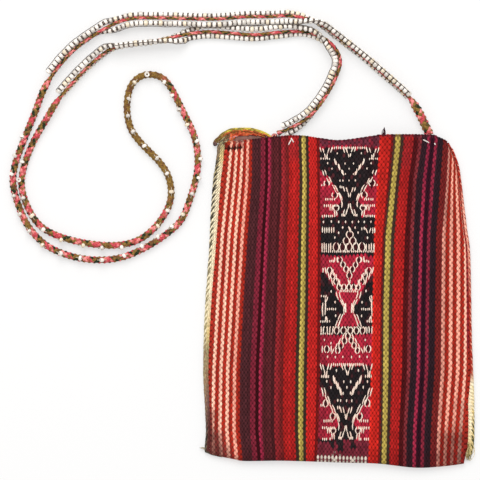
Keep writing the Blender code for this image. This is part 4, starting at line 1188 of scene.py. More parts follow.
@dataclass
class Cloth:
    """The two faces of the bag: one strip of warp-faced cloth, folded at the bottom, as two closed sheets."""

    plan: BagPlan
    drape: Drape
    draft: BandDraft
    picks: int = 112
    fold_picks: int = 3
    relief: float = 0.00040
    float_height: float = 0.00022
    thread_spread: float = 0.11
    back_clearance: float = 0.00018
    tuck: float = 0.0012
    hem: float = 0.0008
    rise: float = 0.0015
    inner_step: int = 12
    fine_rows: int = 16
    gap_depth: float = 0.0009
    flat: tuple[float, float] = (0.177, 0.224)
    tints: tuple[Tint, ...] = (
        Tint(214, 470, 130, 136.6, Dye.HEADER, 0.45, 1.2),
        # Painted shade on the reds at the top right, where the cloth curves over
        Tint(388, 432, 138, 168, Dye.RIGHT_CRIMSON, 0.30, 6.0, (Dye.BRIGHT_RED,)),
        # Duller bright reds near the top, left of the band
        Tint(252, 318, 138, 160, Dye.RIGHT_CRIMSON, 0.30, 6.0, (Dye.BRIGHT_RED,)),
        # Orange and grey-mauve at the mouth's left corner
        Tint(222, 234, 136, 142.2, Dye.ORANGE, 0.60, 1.5, (Dye.EDGE_RED, Dye.BRICK, Dye.CREAM)),
        Tint(234.5, 243.5, 137.0, 142.0, Dye.GREY_MAUVE, 0.85, 1.0),
        # Painted shade just above the gap under the mouth's left corner, and painted shadow in the gap itself
        Tint(236, 243.5, 142.2, 145.6, Dye.SHADE_RED, 0.60, 1.0),
        Tint(223.5, 243.0, 145.8, 149.0, Dye.GAP_SHADOW, 0.96, 0.7),
        # Greyer creams on the right
        Tint(442, 454, 196, 255, Dye.GREY_MAUVE, 0.30, 8.0, (Dye.WORN_CREAM, Dye.DULL_CREAM)),
        # Painted shade on the creams low on the right, where the cloth turns under
        Tint(454, 470, 400, 440, Dye.GREY_MAUVE, 0.55, 9.0, (Dye.WORN_CREAM, Dye.CREAM)),
        Tint(444, 472, 430, 470, Dye.SCORCH, 0.60, 7.0, (Dye.WORN_CREAM, Dye.CREAM)),
        # Painted shade at the lower left corner, where the cloth curves away
        Tint(202, 214, 410, 466, Dye.SCORCH, 0.80, 7.0),
        Tint(206, 224, 432, 466, Dye.SCORCH, 0.75, 7.0),
        Tint(214, 232, 446, 466, Dye.SCORCH, 0.60, 6.0),
        # Magentas at the top right turned darker and brighter
        Tint(405, 434, 130, 190, Dye.RIGHT_PURPLE, 0.45, 14.0, (Dye.MAGENTA,)),
        Tint(430, 446, 130, 215, Dye.MAGENTA, 0.60, 14.0, (Dye.DULL_MAGENTA,)),
        # Painted shade at the lower right corner, at the top right where the cloth curves over, and down the
        # stripes just right of the band
        Tint(438, 478, 434, 470, Dye.NIGHT, 0.40, 8.0),
        Tint(370, 418, 130, 196, Dye.NIGHT, 0.26, 16.0),
        Tint(374, 392, 190, 440, Dye.NIGHT, 0.16, 5.0),
        # Magenta on the red edge at the right, and brighter creams in the first cream stripe on the right
        Tint(466.5, 476, 235, 350, Dye.MAGENTA, 0.70, 6.0, (Dye.EDGE_RED,)),
        Tint(436, 447, 225, 450, Dye.WORN_CREAM, 0.45, 3.0, (Dye.DULL_CREAM,)),
        # Painted shade beside the band's left edge, and along the bottom where the cloth turns under at the fold
        Tint(302, 318, 134, 372, Dye.NIGHT, 0.14, 4.0),
        Tint(208, 472, 453, 470, Dye.NIGHT, 0.22, 5.0))
    # The inner face: greyed all over, painted shade inside the bag, with orange and a deeper painted shade where
    # it shows at the mouth's left corner
    inside_tints: tuple[Tint, ...] = (
        Tint(180, 500, 100, 480, Dye.GREY_MAUVE, 0.45),
        Tint(214, 233, 124, 148, Dye.ORANGE, 0.75, 2.0),
        Tint(233, 262, 124, 148, Dye.GREY_MAUVE, 0.92, 2.0))

    def thread_x(self, y: Array) -> Array:
        """The x of every column of the mesh, two to a thread, each at a y of its own."""
        return self.drape.x_at(self.plan, np.arange(2 * self.drape.count + 1) / 2, y)

    def thread_ends(self, mouth: Line) -> tuple[Array, Array]:
        """The lower and the upper y of every column, from the fold to a mouth line."""
        return self.plan.ends(mouth, self.thread_x, 2 * self.drape.count + 1)

    def tuck_edges(self, x: Array, z: Array, share: Array) -> None:
        """Moves the outermost threads of one pick out under the stitches of the seams, by a share of the way."""
        x[0] -= self.tuck * share
        x[-1] += self.tuck * share
        z[0] += (self.plan.side / 2 - z[0]) * share
        z[-1] += (self.plan.side / 2 - z[-1]) * share

    def places(self, mouth: Line, front: bool) -> Array:
        """The outer points of one face.

        Args:
            mouth: The line of its mouth.
            front: Whether it is the front.

        Returns:
            Points by half pick and half thread, from the fold's outermost line to the mouth.
        """
        low, high = self.thread_ends(mouth)
        high = high + self.hem + (self.rise if front else 0.0)
        rows = []
        for step in range(2 * self.fold_picks):
            turn = math.pi / 2 * (1 + (1 if front else -1) * step / (2 * self.fold_picks))
            x = self.thread_x(low)
            radius = self.plan.fold_radius(self.plan.across(x, low))
            rows.append(np.stack([x, low - math.sin(turn) * radius, radius - math.cos(turn) * radius], axis=-1))
        for step in range(2 * self.picks + 1):
            up = step / (2 * self.picks)
            y = low + (high - low) * up
            x = self.thread_x(y)
            z = np.full(len(x), self.back_clearance)
            if front:
                across = self.plan.across(x, y)
                z = self.plan.front_height(across, np.full(len(x), up))
                z += self.plan.ripple(x, y) * self.plan.swell(across) * smooth_step(0.0, 0.1, np.array(up))
            self.tuck_edges(x, z, smooth_step(0.0, 0.04, np.array(up)) * (1.0 if front else 0.5))
            rows.append(np.stack([x, y, z], axis=-1))
        return np.array(rows)

    def normals(self, grid: Array) -> Array:
        """The outward direction at each point of a grid."""
        along, across = np.gradient(grid, axis=0), np.gradient(grid, axis=1)
        return unit(np.cross(across, along))

    def dyes(self, grid: Array, seed: int, tints: tuple[Tint, ...] = ()) -> Array:
        """The colour of every thread at every pick.

        Args:
            grid: Points by half pick and half thread.
            seed: The seed of the yarn's unevenness.
            tints: The patches of painted shade and other colour that are laid over it.

        Returns:
            Linear colours by pick and thread.
        """
        noise = np.random.default_rng(seed)
        grid = grid[::2, 1::2]
        columns, rows = chart_square(grid, FACE_HEIGHT)
        names = np.broadcast_to(np.array([dye.name for dye in self.drape.dyes]), columns.shape)
        colours = np.broadcast_to(np.array([dye.linear for dye in self.drape.dyes]), grid.shape).copy()
        band = self.drape.band
        colours[:, band] = self.draft.ground(columns[:, band], rows[:, band], noise)
        for tint in tints:
            colours = tint.lay(colours, columns, rows, names)
        uneven = 1 + self.thread_spread * noise.normal(size=(1, grid.shape[1], 1))
        uneven = uneven * (1 + self.thread_spread * noise.normal(size=(*grid.shape[:2], 1)))
        return np.clip(colours * np.clip(uneven, 0.7, 1.35), 0.0, 1.0)

    def add_sheet(self, shape: Shape, grid: Array, colours: Array, inner_colours: Array,
                  front: bool) -> None:
        """Adds one closed sheet: a woven outer face, a plainer inner face at the cloth's thickness, and its rim.

        Args:
            shape: The piece.
            grid: The outer points by half pick and half thread.
            colours: The colour of each float.
            inner_colours: The colour behind each, on the inner face.
            front: Whether it is the front, which dips at the gap below the mouth's left corner.
        """
        rows, columns = grid.shape[:2]
        outward = self.normals(grid) * (1 if front else -1)
        row, column = np.meshgrid(np.arange(rows), np.arange(columns), indexing="ij")
        edge = (column == 0) | (column == columns - 1) | (row == 0) | (row == rows - 1)
        lift = np.where(edge, 0.0, (warp_floats(row, column)[2] - 0.5) * self.relief)
        if front:
            across, down = chart_square(grid, FACE_HEIGHT)
            gap = (smooth_step(222, 225, across) * smooth_step(-244.5, -241.5, -across)
                   * smooth_step(144.6, 146.4, down) * smooth_step(-150.4, -148.6, -down))
            lift = lift - self.gap_depth * gap
        first = add_weave(shape, grid + outward * lift[..., None], colours)
        inner_columns = sorted({0, columns - 1, *(2 * int(side) for side in self.drape.stripe_edges[1:-1]),
                                *range(2 * self.drape.band.start + 10, 2 * self.drape.band.stop, 10)})
        inner_rows = sorted({0, rows - 1, *range(self.inner_step, rows - self.fine_rows, self.inner_step),
                             *range(rows - self.fine_rows, rows - 1, 2)})
        inner = (grid - outward * self.plan.cloth)[np.ix_(inner_rows, inner_columns)]
        second = shape.add_points(inner)
        wide = len(inner_columns)
        for low, (row_a, row_b) in enumerate(zip(inner_rows, inner_rows[1:])):
            for left, (column_a, column_b) in enumerate(zip(inner_columns, inner_columns[1:])):
                corner = second + low * wide + left
                face = np.array([[corner, corner + 1, corner + wide + 1, corner + wide]])
                dye = inner_colours[(row_a + row_b) // 4, (column_a + column_b) // 4]
                threads = np.array([[(column_a, row_a), (column_b, row_a),
                                     (column_b, row_b), (column_a, row_b)]])
                shape.add_faces(face, dye, threads / 2)
        for outer, inner, row in ((first, second, 0),
                                  (first + (rows - 1) * columns, second + (len(inner_rows) - 1) * wide, -1)):
            pairs = [(outer + column, inner + index) for index, column in enumerate(inner_columns)]
            self.add_rim(shape, pairs, 1, colours[row], [column // 2 for column in inner_columns])
        for outer, inner, side in ((first, second, 0), (first + columns - 1, second + wide - 1, -1)):
            pairs = [(outer + row * columns, inner + index * wide) for index, row in enumerate(inner_rows)]
            self.add_rim(shape, pairs, columns, colours[:, side], [row // 2 for row in inner_rows])

    @staticmethod
    def add_rim(shape: Shape, pairs: list[tuple[int, int]], step: int, colours: Array, marks: list[int]) -> None:
        """Closes one side of a sheet, each face from a run of outer points to two inner ones."""
        for (outer_a, inner_a), (outer_b, inner_b), mark in zip(pairs, pairs[1:], marks):
            face = [*range(outer_a, outer_b + 1, step), inner_b, inner_a]
            shape.add_faces(np.array([face]), colours[mark], (float(mark), 0.0))

    def add_floats(self, shape: Shape) -> None:
        """Lays the cream floats of the figured band over the front."""
        noise = np.random.default_rng(31)
        edges = self.drape.lines[self.drape.band_group:self.drape.band_group + 2]
        for stroke in self.draft.floats:
            column, row = stroke.places[len(stroke.places) // 2]
            left, right = (float(np.interp(row, self.drape.rows, edge)) for edge in edges)
            if not left - 0.2 <= column <= right + 0.6:
                continue
            places = chart_place(*np.array(stroke.places).T, FACE_HEIGHT)
            line = Line(smooth_line(places, 3) if len(places) > 1 else places)
            along = line.at(np.linspace(0, line.length, 6))
            high = self.plan.face_height(along[:, 0], along[:, 1])
            arc = np.sin(np.linspace(0.12, math.pi - 0.12, 6))
            path = np.column_stack((along, high + self.float_height * (1.7 * arc - 0.9)))
            half = stroke.width * SQUARE / 2 * (0.55 + 0.45 * arc)
            dye = Dye.MOTIF_CREAM.linear * (0.86 + 0.16 * noise.random())
            pink = noise.random() * 0.35
            add_yarn(shape, path, half, blended(dye, Dye.CREAM.linear, pink), lay=0.0021, flatness=0.7, finish=1)

    def build(self, finishes: Finishes) -> tuple[Object, Object]:
        """Makes both faces of the bag.

        Args:
            finishes: The materials.

        Returns:
            The front and the back.
        """
        grid = self.places(self.plan.front_mouth, True)
        shape = Shape()
        self.add_sheet(shape, grid, self.dyes(grid, 5, self.tints), self.dyes(grid, 7, self.inside_tints), True)
        self.add_floats(shape)
        front = shape.build("cloth_front", "front_panel", "striped_wool_front", finishes.wool, finishes.yarn,
                            mount=Mount.POUCH)
        grid = self.places(self.plan.back_mouth, False)
        shape = Shape()
        self.add_sheet(shape, grid, self.dyes(grid, 6), self.dyes(grid, 8, self.inside_tints), False)
        back = shape.build("cloth_back", "back_panel", "striped_wool_back", finishes.wool, mount=Mount.POUCH)
        return front, back


@dataclass
class MouthEdges:
    """The finished edges of the mouth, where the warp threads turn over the last pick and leave a row of loops."""

    plan: BagPlan
    drape: Drape
    cloth: Cloth
    sides: int = 8
    scallop: float = 0.14
    darkening: float = 0.7
    overlap: float = 0.0004
    flatness: float = 0.78
    fullness: float = 0.92
    seam_share: float = 0.006
    back_stop: float = 0.955

    def make_edge(self, side: str, middles: Array, width: float, dyes: Array, kept: Array, seed: int, mount: Mount,
                  finishes: Finishes) -> None:
        """Makes one edge as a ring of weave round the last pick.

        Args:
            side: The face that it finishes.
            middles: The middle of the edge at each half thread.
            width: The edge's width.
            dyes: The linear colour of each thread.
            kept: Which half threads it covers; threads half covered are left out.
            seed: The seed of its unevenness.
            mount: What it moves with.
            finishes: The materials.
        """
        places = np.flatnonzero(kept)
        first, last = (places[0] + 1) // 2, places[-1] // 2
        middles, dyes = middles[2 * first:2 * last + 1], dyes[first:last]
        noise = np.random.default_rng(seed)
        turns = 2 * np.pi * (np.arange(self.sides) / self.sides) - np.pi / 2
        count = len(middles)
        relief = warp_floats(np.arange(self.sides)[:, None], np.arange(count)[None, :])[2]
        reach = width / 2 * self.fullness * (1 - 2 * self.scallop * (1 - relief))
        reach = reach * (1 + 0.05 * noise.normal(size=(1, count)))
        grid = np.stack([np.broadcast_to(middles[:, 0], (self.sides, count)),
                         middles[:, 1] + np.cos(turns)[:, None] * reach,
                         middles[:, 2] + np.sin(turns)[:, None] * reach * self.flatness], axis=-1)
        light = 1 + 0.16 * noise.normal(size=(self.sides // 2, len(dyes), 1))
        colours = np.clip(dyes[None] * self.darkening * np.clip(light, 0.6, 1.4), 0, 1)
        shape = Shape()
        ring = add_weave(shape, grid, colours, closed=True) + np.arange(self.sides) * count
        shape.add_faces(ring[None], colours[0, 0])
        shape.add_faces(ring[None] + count - 1, colours[0, -1])
        shape.build(f"{side}_mouth_loops", f"{side}_mouth_edge", "maroon_edge_yarn", finishes.wool, mount=mount)

    def build(self, finishes: Finishes) -> None:
        """Makes the front and the back edge."""
        plan, cloth, band = self.plan, self.cloth, self.drape.band
        high = cloth.thread_ends(plan.front_mouth)[1]
        x = cloth.thread_x(high)
        across = plan.across(x, high)
        z = plan.front_height(across, np.ones(len(x))) + plan.ripple(x, high) * plan.swell(across) - plan.cloth / 2
        middles = np.stack([x, high + cloth.rise + plan.front_edge / 2 - self.overlap, z], axis=-1)
        self.make_edge("front", middles, plan.front_edge, cloth.dyes(middles[None], 8, cloth.tints)[0],
                       (across > self.seam_share) & (across < 1 - self.seam_share), 9, Mount.POUCH, finishes)
        high = cloth.thread_ends(plan.back_mouth)[1]
        x = cloth.thread_x(high)
        start = plan.place(plan.left_knot_shares)[0] + 2 * plan.left_knot
        middles = np.stack([x, high + plan.back_edge / 2 - self.overlap,
                            np.full(len(x), plan.back_edge / 2 + 0.0001)], axis=-1)
        dyes = np.array([dye.linear for dye in self.drape.dyes])
        dyes[band] = Dye.HEADER.linear
        kept = (x > start) & (plan.across(x, high) < self.back_stop)
        self.make_edge("back", middles, plan.back_edge, dyes, kept, 10, Mount.BACK, finishes)


@dataclass
class OvercastSeam:
    """One side of the bag, sewn together with yarns wound over its edge in steep stitches.

    Each band gives its colours at a chart row: the two that take turns on its outer side, and its inner one.
    """

    name: str
    node: str
    edge: Line
    widths: Pairs
    way: int
    bands: tuple[str, ...]
    start: float = 0.0
    stop: float = 0.0
    taper: float = 0.010
    strands: int = 9
    pitch: float = 0.019
    height: float = 0.0033
    yarn_radius: float = 0.0006
    clearance: float = 0.0002
    stations_per_turn: int = 22

    def middle(self, distances: Array) -> tuple[Array, Array, Array]:
        """The seam's middle, its level side direction and its width at distances up its edge."""
        width = eased(self.widths, distances / self.edge.length)
        width = width * (0.55 + 0.45 * smooth_step(0.0, self.taper, distances - self.start))
        side = sideways(self.edge.heading(distances))
        middle = self.edge.at(distances) - side * (width / 2)[:, None] * self.way
        middle[:, 2] = self.height / 2 + self.clearance
        return middle, side, width

    def colours(self, rows: Array, outside: Array, strand: int) -> Array:
        """The colours of one strand.

        Args:
            rows: The chart row of each stretch.
            outside: How far each lies to the seam's outer side, from -1 to 1.
            strand: The strand's number.

        Returns:
            A linear colour for each stretch.
        """
        bands = [band.split() for band in self.bands]
        marks = [float(row) for row, *_ in bands]
        inner, outer = (np.stack([np.interp(rows, marks, levels) for levels in
                                  zip(*(Dye[band[place]].linear for band in bands))], axis=-1)
                        for place in (3, 1 + strand % 2))
        noise = np.random.default_rng(50 + strand)
        return (blended(inner, outer, smooth_step(-0.25, 0.35, outside)[:, None])
                * (0.84 + 0.32 * noise.random((len(rows), 1))))

    def build(self, finishes: Finishes) -> None:
        """Makes the stitches round a dark core, which shows between them as painted shade."""
        shape = Shape()
        reach = self.edge.length - self.start - self.stop
        middle, side, width = self.middle(self.start + reach * np.linspace(0.004, 0.996, 90))
        # Painted shade: the dark core fills the gaps between the stitches
        add_yarn(shape, middle, np.maximum(width / 2 - self.yarn_radius, 0.0004), Dye.SEAM_DARK.linear, corners=8,
                 flatness=0.62)
        turns = reach / self.pitch
        count = int(turns * self.stations_per_turn)
        share = np.linspace(0.0, 1.0, count + 1)
        middle, side, width = self.middle(self.start + reach * (0.004 + 0.992 * share))
        rows = chart_square(middle, FACE_HEIGHT)[1][1:]
        for strand in range(self.strands):
            turn = 2 * np.pi * (turns * share * self.way + strand / self.strands)
            noise = np.random.default_rng(40 + strand)
            wobble = 1 + 0.05 * np.convolve(noise.normal(size=count + 5), np.ones(5) / 2, mode="valid")
            path = middle + side * (np.cos(turn) * (width / 2 - self.yarn_radius * 0.8) * wobble)[:, None]
            path[:, 2] += np.sin(turn) * (self.height / 2 - self.yarn_radius)
            add_yarn(shape, path, self.yarn_radius, self.colours(rows, np.cos(turn[1:]) * self.way, strand),
                     lay=0.0026)
        shape.build(self.name, self.node, "overcast_seam_yarn", finishes.yarn)


@dataclass
class CornerBinding:
    """Yarns that bind the back of the mouth in an arch at the left corner, and the loose ones that lie inside it.

    Each inner yarn gives how far it lies inside the arch, the shares of the arch that it starts and ends at, and
    its two dyes.
    """

    plan: BagPlan
    strands: int = 8
    stretches: int = 89
    yarn_radius: float = 0.00056
    ring_radius: float = 0.00112
    inner_radius: float = 0.0005
    twist: float = 1.6
    start_shares: Pairs = ((-0.4590, 0.4690), (-0.4545, 0.4765), (-0.4475, 0.4820))
    end_shares: Pairs = ((-0.2385, 0.4835),)
    inner_yarns: tuple[str, ...] = (
        "0.0012 0.03 0.30 YARN_BROWN YARN_OLIVE", "0.0019 0.04 0.30 YARN_BROWN SEAM_OLIVE",
        "0.0026 0.05 0.28 YARN_BROWN SEAM_DARK", "0.0034 0.06 0.26 SEAM_OLIVE YARN_BROWN",
        "0.0042 0.09 0.24 SEAM_DARK SEAM_OLIVE", "0.0050 0.11 0.24 YARN_BROWN SEAM_CREAM",
        "0.0019 0.26 0.86 YARN_RUST YARN_CORAL", "0.0027 0.25 0.74 YARN_CORAL BRICK",
        "0.0035 0.24 0.60 BRICK YARN_CORAL", "0.0043 0.23 0.42 YARN_CORAL MAUVE_PINK",
        "0.0051 0.22 0.38 ORANGE MAUVE_PINK", "0.0059 0.17 0.34 YARN_RUST ORANGE",
        "0.0067 0.19 0.32 MAUVE_PINK ORANGE")

    def colours(self, strand: int, share: Array, outer: Array) -> Array:
        """The colours of one strand of the binding.

        Args:
            strand: Its number.
            share: Each stretch's share of the way along the arch.
            outer: Which stretches lie on the arch's outer side.

        Returns:
            A linear colour for each stretch: brown, then olive and gold outside and rust inside.
        """
        gold, rust, brown = (
            mottled(dye, other, self.stretches, seed + strand, stray) for dye, other, seed, stray in
            ((Dye.YARN_OLIVE, Dye.YARN_GOLD, 70, 0.3 + 0.1 * strand / self.strands),
             (Dye.YARN_RUST, Dye.YARN_CORAL, 80, 0.45), (Dye.YARN_BROWN, Dye.YARN_OLIVE, 90, 0.3)))
        gold = blended(gold, Dye.YARN_GOLD.linear, smooth_step(0.66, 0.82, share)[:, None] * 0.8)
        early = smooth_step(-0.26, -0.12, -share)[:, None]
        return blended(np.where(outer[:, None], gold, rust), brown, early)

    def build(self, finishes: Finishes) -> None:
        """Makes the strands along the arch."""
        shape = Shape()
        line = self.plan.outline((*self.start_shares, *self.plan.arch_shares, *self.end_shares))
        distances = np.linspace(0.0, line.length, self.stretches + 1)
        middle, side = line.at(distances), sideways(line.heading(distances))
        share = distances / line.length
        thin = 0.5 + 0.5 * smooth_step(0.02, 0.2, share) * smooth_step(-1.0, -0.72, -share)
        middle[:, 2] = self.plan.corner_yarn / 2 + 0.0002
        for strand in range(self.strands):
            turn = 2 * np.pi * (strand / self.strands + self.twist * share * 0.5) - 0.9
            path = middle + side * (np.cos(turn) * self.ring_radius * thin)[:, None]
            path[:, 2] += np.sin(turn) * self.ring_radius * thin
            add_yarn(shape, path, self.yarn_radius * (0.6 + 0.4 * thin),
                     self.colours(strand, share[1:], np.cos(turn[1:]) > -0.1), lay=0.0028)
        # Painted shade: a darker copy of the rust yarn fills the gaps between the strands
        add_yarn(shape, middle, self.ring_radius * 0.8 * thin, Dye.YARN_RUST.linear * 0.6)
        for seed, words in enumerate(self.inner_yarns):
            inward, first, last, dye, other = words.split()
            run = np.linspace(float(first), float(last), 40) * line.length
            path = line.at(run) - sideways(line.heading(run)) * float(inward)
            path[:, 2] = self.plan.cloth + 0.0006 + 0.0002 * np.sin(run * 900 + seed)
            colours = mottled(Dye[dye], Dye[other], 39, 110 + seed, 0.5)
            add_yarn(shape, path, self.inner_radius, colours, lay=0.0028)
        shape.build("corner_binding_yarns", "left_corner_yarn", "olive_corner_yarn", finishes.yarn)


@dataclass
class StrapRoute:
    """The strap's course on the ground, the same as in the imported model, and where its beaded runs lie."""

    braid: float = 0.0047
    core: float = 0.0026
    taper: float = 0.006
    lift_length: float = 0.012
    lift_hold: float = 0.012
    clearance: float = 0.0001
    bead: float = 0.0034
    pitch: float = 0.0033
    row_gap: float = 0.0004
    right_braid: float = 0.029
    right_band: float = 0.277
    left_band: float = 0.282
    end_clearance: float = 0.004
    count: int = 84
    steps: int = 24
    bend_weight: float = 0.018
    route: Pairs = (
        (0.0617, 0.1113), (0.0517, 0.1312), (0.0459, 0.1384), (0.0258, 0.1560), (0.0136, 0.1665),
        (-0.0068, 0.1820), (-0.0145, 0.1875), (-0.0330, 0.1914), (-0.0500, 0.1910), (-0.0649, 0.1909),
        (-0.0835, 0.1892), (-0.1000, 0.1897), (-0.1185, 0.1900), (-0.1309, 0.1904), (-0.1421, 0.1894),
        (-0.1540, 0.1854), (-0.1765, 0.1712), (-0.1925, 0.1540), (-0.2009, 0.1401), (-0.2060, 0.1268),
        (-0.2166, 0.1000), (-0.2205, 0.0870), (-0.2205, 0.0734), (-0.2130, 0.0524), (-0.2027, 0.0393),
        (-0.1952, 0.0339), (-0.1853, 0.0295), (-0.1744, 0.0269), (-0.1622, 0.0259), (-0.1506, 0.0269),
        (-0.1397, 0.0303), (-0.1293, 0.0354), (-0.1193, 0.0418), (-0.1102, 0.0493), (-0.1044, 0.0578),
        (-0.0979, 0.0775), (-0.0957, 0.0891), (-0.0959, 0.0996), (-0.0977, 0.1088), (-0.1014, 0.1180),
        (-0.1115, 0.1380), (-0.1159, 0.1459), (-0.1214, 0.1504), (-0.1282, 0.1519), (-0.1348, 0.1504),
        (-0.1400, 0.1457), (-0.1427, 0.1394), (-0.1438, 0.1306), (-0.1429, 0.1210), (-0.1396, 0.1119),
        (-0.1336, 0.1047), (-0.1202, 0.0907), (-0.1158, 0.0830), (-0.1138, 0.0734), (-0.1147, 0.0646),
        (-0.1185, 0.0564), (-0.1242, 0.0487), (-0.1316, 0.0420), (-0.1414, 0.0374), (-0.1527, 0.0358),
        (-0.1642, 0.0363), (-0.1867, 0.0408), (-0.2027, 0.0492), (-0.2118, 0.0632), (-0.2154, 0.0772),
        (-0.2130, 0.0921), (-0.2067, 0.1074), (-0.1988, 0.1210), (-0.1903, 0.1346), (-0.1717, 0.1556),
        (-0.1564, 0.1678), (-0.1476, 0.1714), (-0.1248, 0.1744), (-0.0969, 0.1802), (-0.0800, 0.1806),
        (-0.0635, 0.1788), (-0.0495, 0.1793), (-0.0330, 0.1812), (-0.0221, 0.1806), (-0.0139, 0.1783),
        (-0.0074, 0.1746), (-0.0024, 0.1697), (0.0005, 0.1635), (0.0007, 0.1574), (-0.0050, 0.1431),
        (-0.0156, 0.1281), (-0.0221, 0.1217), (-0.0353, 0.1140), (-0.0414, 0.1118))
    lifts: tuple[tuple[int, float], ...] = ((5, 0.0020), (6, 0.0030), (7, 0.0024), (10, 0.0036), (11, 0.0010))
    right_turns: tuple[Pairs, Pairs] = (
        ((0.0, 112.0), (0.266, 112.0), (0.368, 10.0), (0.78, 8.0), (0.85, -98.0), (1.0, -100.0)),
        ((0.0, -80.0), (0.266, -80.0), (0.368, -130.0), (0.78, -132.0), (0.85, -205.0), (1.0, -205.0)))
    left_turns: tuple[Pairs, Pairs] = (
        ((0.0, 25.0), (0.159, 25.0), (0.187, 86.0), (0.267, 92.0), (0.304, 112.0), (0.331, 150.0), (0.366, 225.0),
         (0.583, 228.0), (0.653, 245.0), (0.894, 262.0), (1.0, 325.0)),
        ((0.0, -95.0), (0.267, -95.0), (0.331, -85.0), (0.366, -50.0), (0.399, 5.0), (0.583, 8.0), (0.653, 50.0),
         (0.734, 158.0), (1.0, 158.0)))

    def __post_init__(self) -> None:
        """Lays the strap on the ground, its points closer together where it bends."""
        course = np.column_stack((np.array(self.route), np.zeros(len(self.route))))
        for place, lift in self.lifts:
            course[place, 2] = lift
        fine = Line(smooth_line(course, self.steps))
        bends = np.arccos(np.clip(np.sum(fine.headings[1:] * fine.headings[:-1], axis=1), -1.0, 1.0))
        marks = np.concatenate(([0.0], np.cumsum(np.diff(fine.marks) + self.bend_weight * bends)))
        goals = np.linspace(0.0, marks[-1], self.count)
        points = np.stack([np.interp(goals, marks, fine.points[:, axis]) for axis in range(3)], axis=-1)
        points[:, 2] += self.rest_height(fine.length, np.interp(goals, marks, fine.marks))
        self.path = points
        self.line = Line(smooth_line(points, 12))
        self.right_run, self.left_run = self.runs(self.line.length)

    def nearest(self, column: float, row: float) -> float:
        """The distance along the strap of its station nearest to a chart square."""
        apart = np.linalg.norm(self.line.points[:, :2] - chart_place(column, row, STRAP_HEIGHT), axis=1)
        return float(self.line.marks[int(np.argmin(apart))])

    def runs(self, length: float) -> tuple[tuple[float, float], tuple[float, float]]:
        """Where the beaded runs start and end along a strap of a length."""
        return ((self.right_braid, self.right_braid + self.right_band),
                (length - self.left_band, length - self.end_clearance))

    def band_share(self, distances: Array) -> Array:
        """How much of the strap is narrow beaded band at distances along it."""
        share = np.zeros(len(distances))
        for low, high in (self.right_run, self.left_run):
            inside = np.minimum(distances - low, high - distances) / self.taper + 1
            share = np.maximum(share, np.clip(inside, 0.0, 1.0))
        return share

    def row_reach(self) -> float:
        """The distance from the band's core to a bead row beside it."""
        return self.core / 2 + self.row_gap + self.bead / 2

    def rest_height(self, length: float, distances: Array) -> Array:
        """The height of the strap's middle when its lowest bead or the braid touches the ground."""
        height = np.full(len(distances), self.braid / 2 + self.clearance)
        for (low, high), rows in zip(self.runs(length), (self.right_turns, self.left_turns)):
            inside = np.minimum(distances - low, high - distances) + self.lift_hold
            ease = np.clip(1 + inside / self.lift_length, 0.0, 1.0)
            nearby = distances[:, None] + self.lift_length * np.array((-0.5, 0.0, 0.5))
            along = np.clip((nearby - low) / (high - low), 0.0, 1.0)
            drop = np.min([np.sin(np.radians(eased(turns, along))).min(axis=1) for turns in rows], axis=0)
            needed = self.bead / 2 + self.clearance - self.row_reach() * drop
            height = np.where(ease > 0, np.maximum(height, height + (needed - height) * ease), height)
        return height


@dataclass
class BeadStringer:
    """Seed beads, each turned from one blank and copied along a thread."""

    hole_reach: float = 0.00140
    wall: float = 0.00075
    length_share: float = 1.7
    turns: int = 10
    wall_turns: int = 5

    def __post_init__(self) -> None:
        """Makes the blank: a ring drawn out along its hole."""
        bpy.ops.object.select_all(action="DESELECT")
        bpy.ops.mesh.primitive_torus_add(major_segments=self.turns, minor_segments=self.wall_turns,
                                         major_radius=self.hole_reach, minor_radius=self.wall)
        blank = bpy.context.object
        bpy.ops.object.mode_set(mode="EDIT")
        bpy.ops.mesh.select_all(action="SELECT")
        bpy.ops.transform.resize(value=(1.0, 1.0, self.length_share))
        bpy.ops.object.mode_set(mode="OBJECT")
        self.points = np.array([vertex.co[:] for vertex in blank.data.vertices])
        self.faces = np.array([face.vertices[:] for face in blank.data.polygons])
        mesh = blank.data
        bpy.data.objects.remove(blank)
        bpy.data.meshes.remove(mesh)

    def add_bead(self, shape: Shape, middle: Array, heading: Array, noise: np.random.Generator,
                 tilt: float = 0.1, size: float = 1.0) -> None:
        """Adds one bead.

        Args:
            shape: The piece that it belongs to.
            middle: The bead's middle.
            heading: The direction of its hole.
            noise: The source of its unevenness.
            tilt: How far it leans off the heading.
            size: Its size against the blank.
        """
        axis = unit(heading + tilt * noise.normal(size=3))
        side = unit(np.cross(axis, (0.0, 0.0, 1.0) if abs(axis[2]) < 0.9 else (1.0, 0.0, 0.0)))
        frame_of_bead = np.stack([side, np.cross(axis, side), axis])
        sizes = size * (1 + np.array((0.05, 0.05, 0.08)) * noise.normal(size=3))
        first = shape.add_points(middle + (self.points * sizes) @ frame_of_bead)
        kinds = (Dye.BEAD_WHITE, Dye.BEAD_WHITE, Dye.BEAD_CREAM, Dye.BEAD_GREY)
        dye = kinds[int(noise.integers(len(kinds)))].linear * (0.94 + 0.06 * noise.random())
        shape.add_faces(first + self.faces, dye)


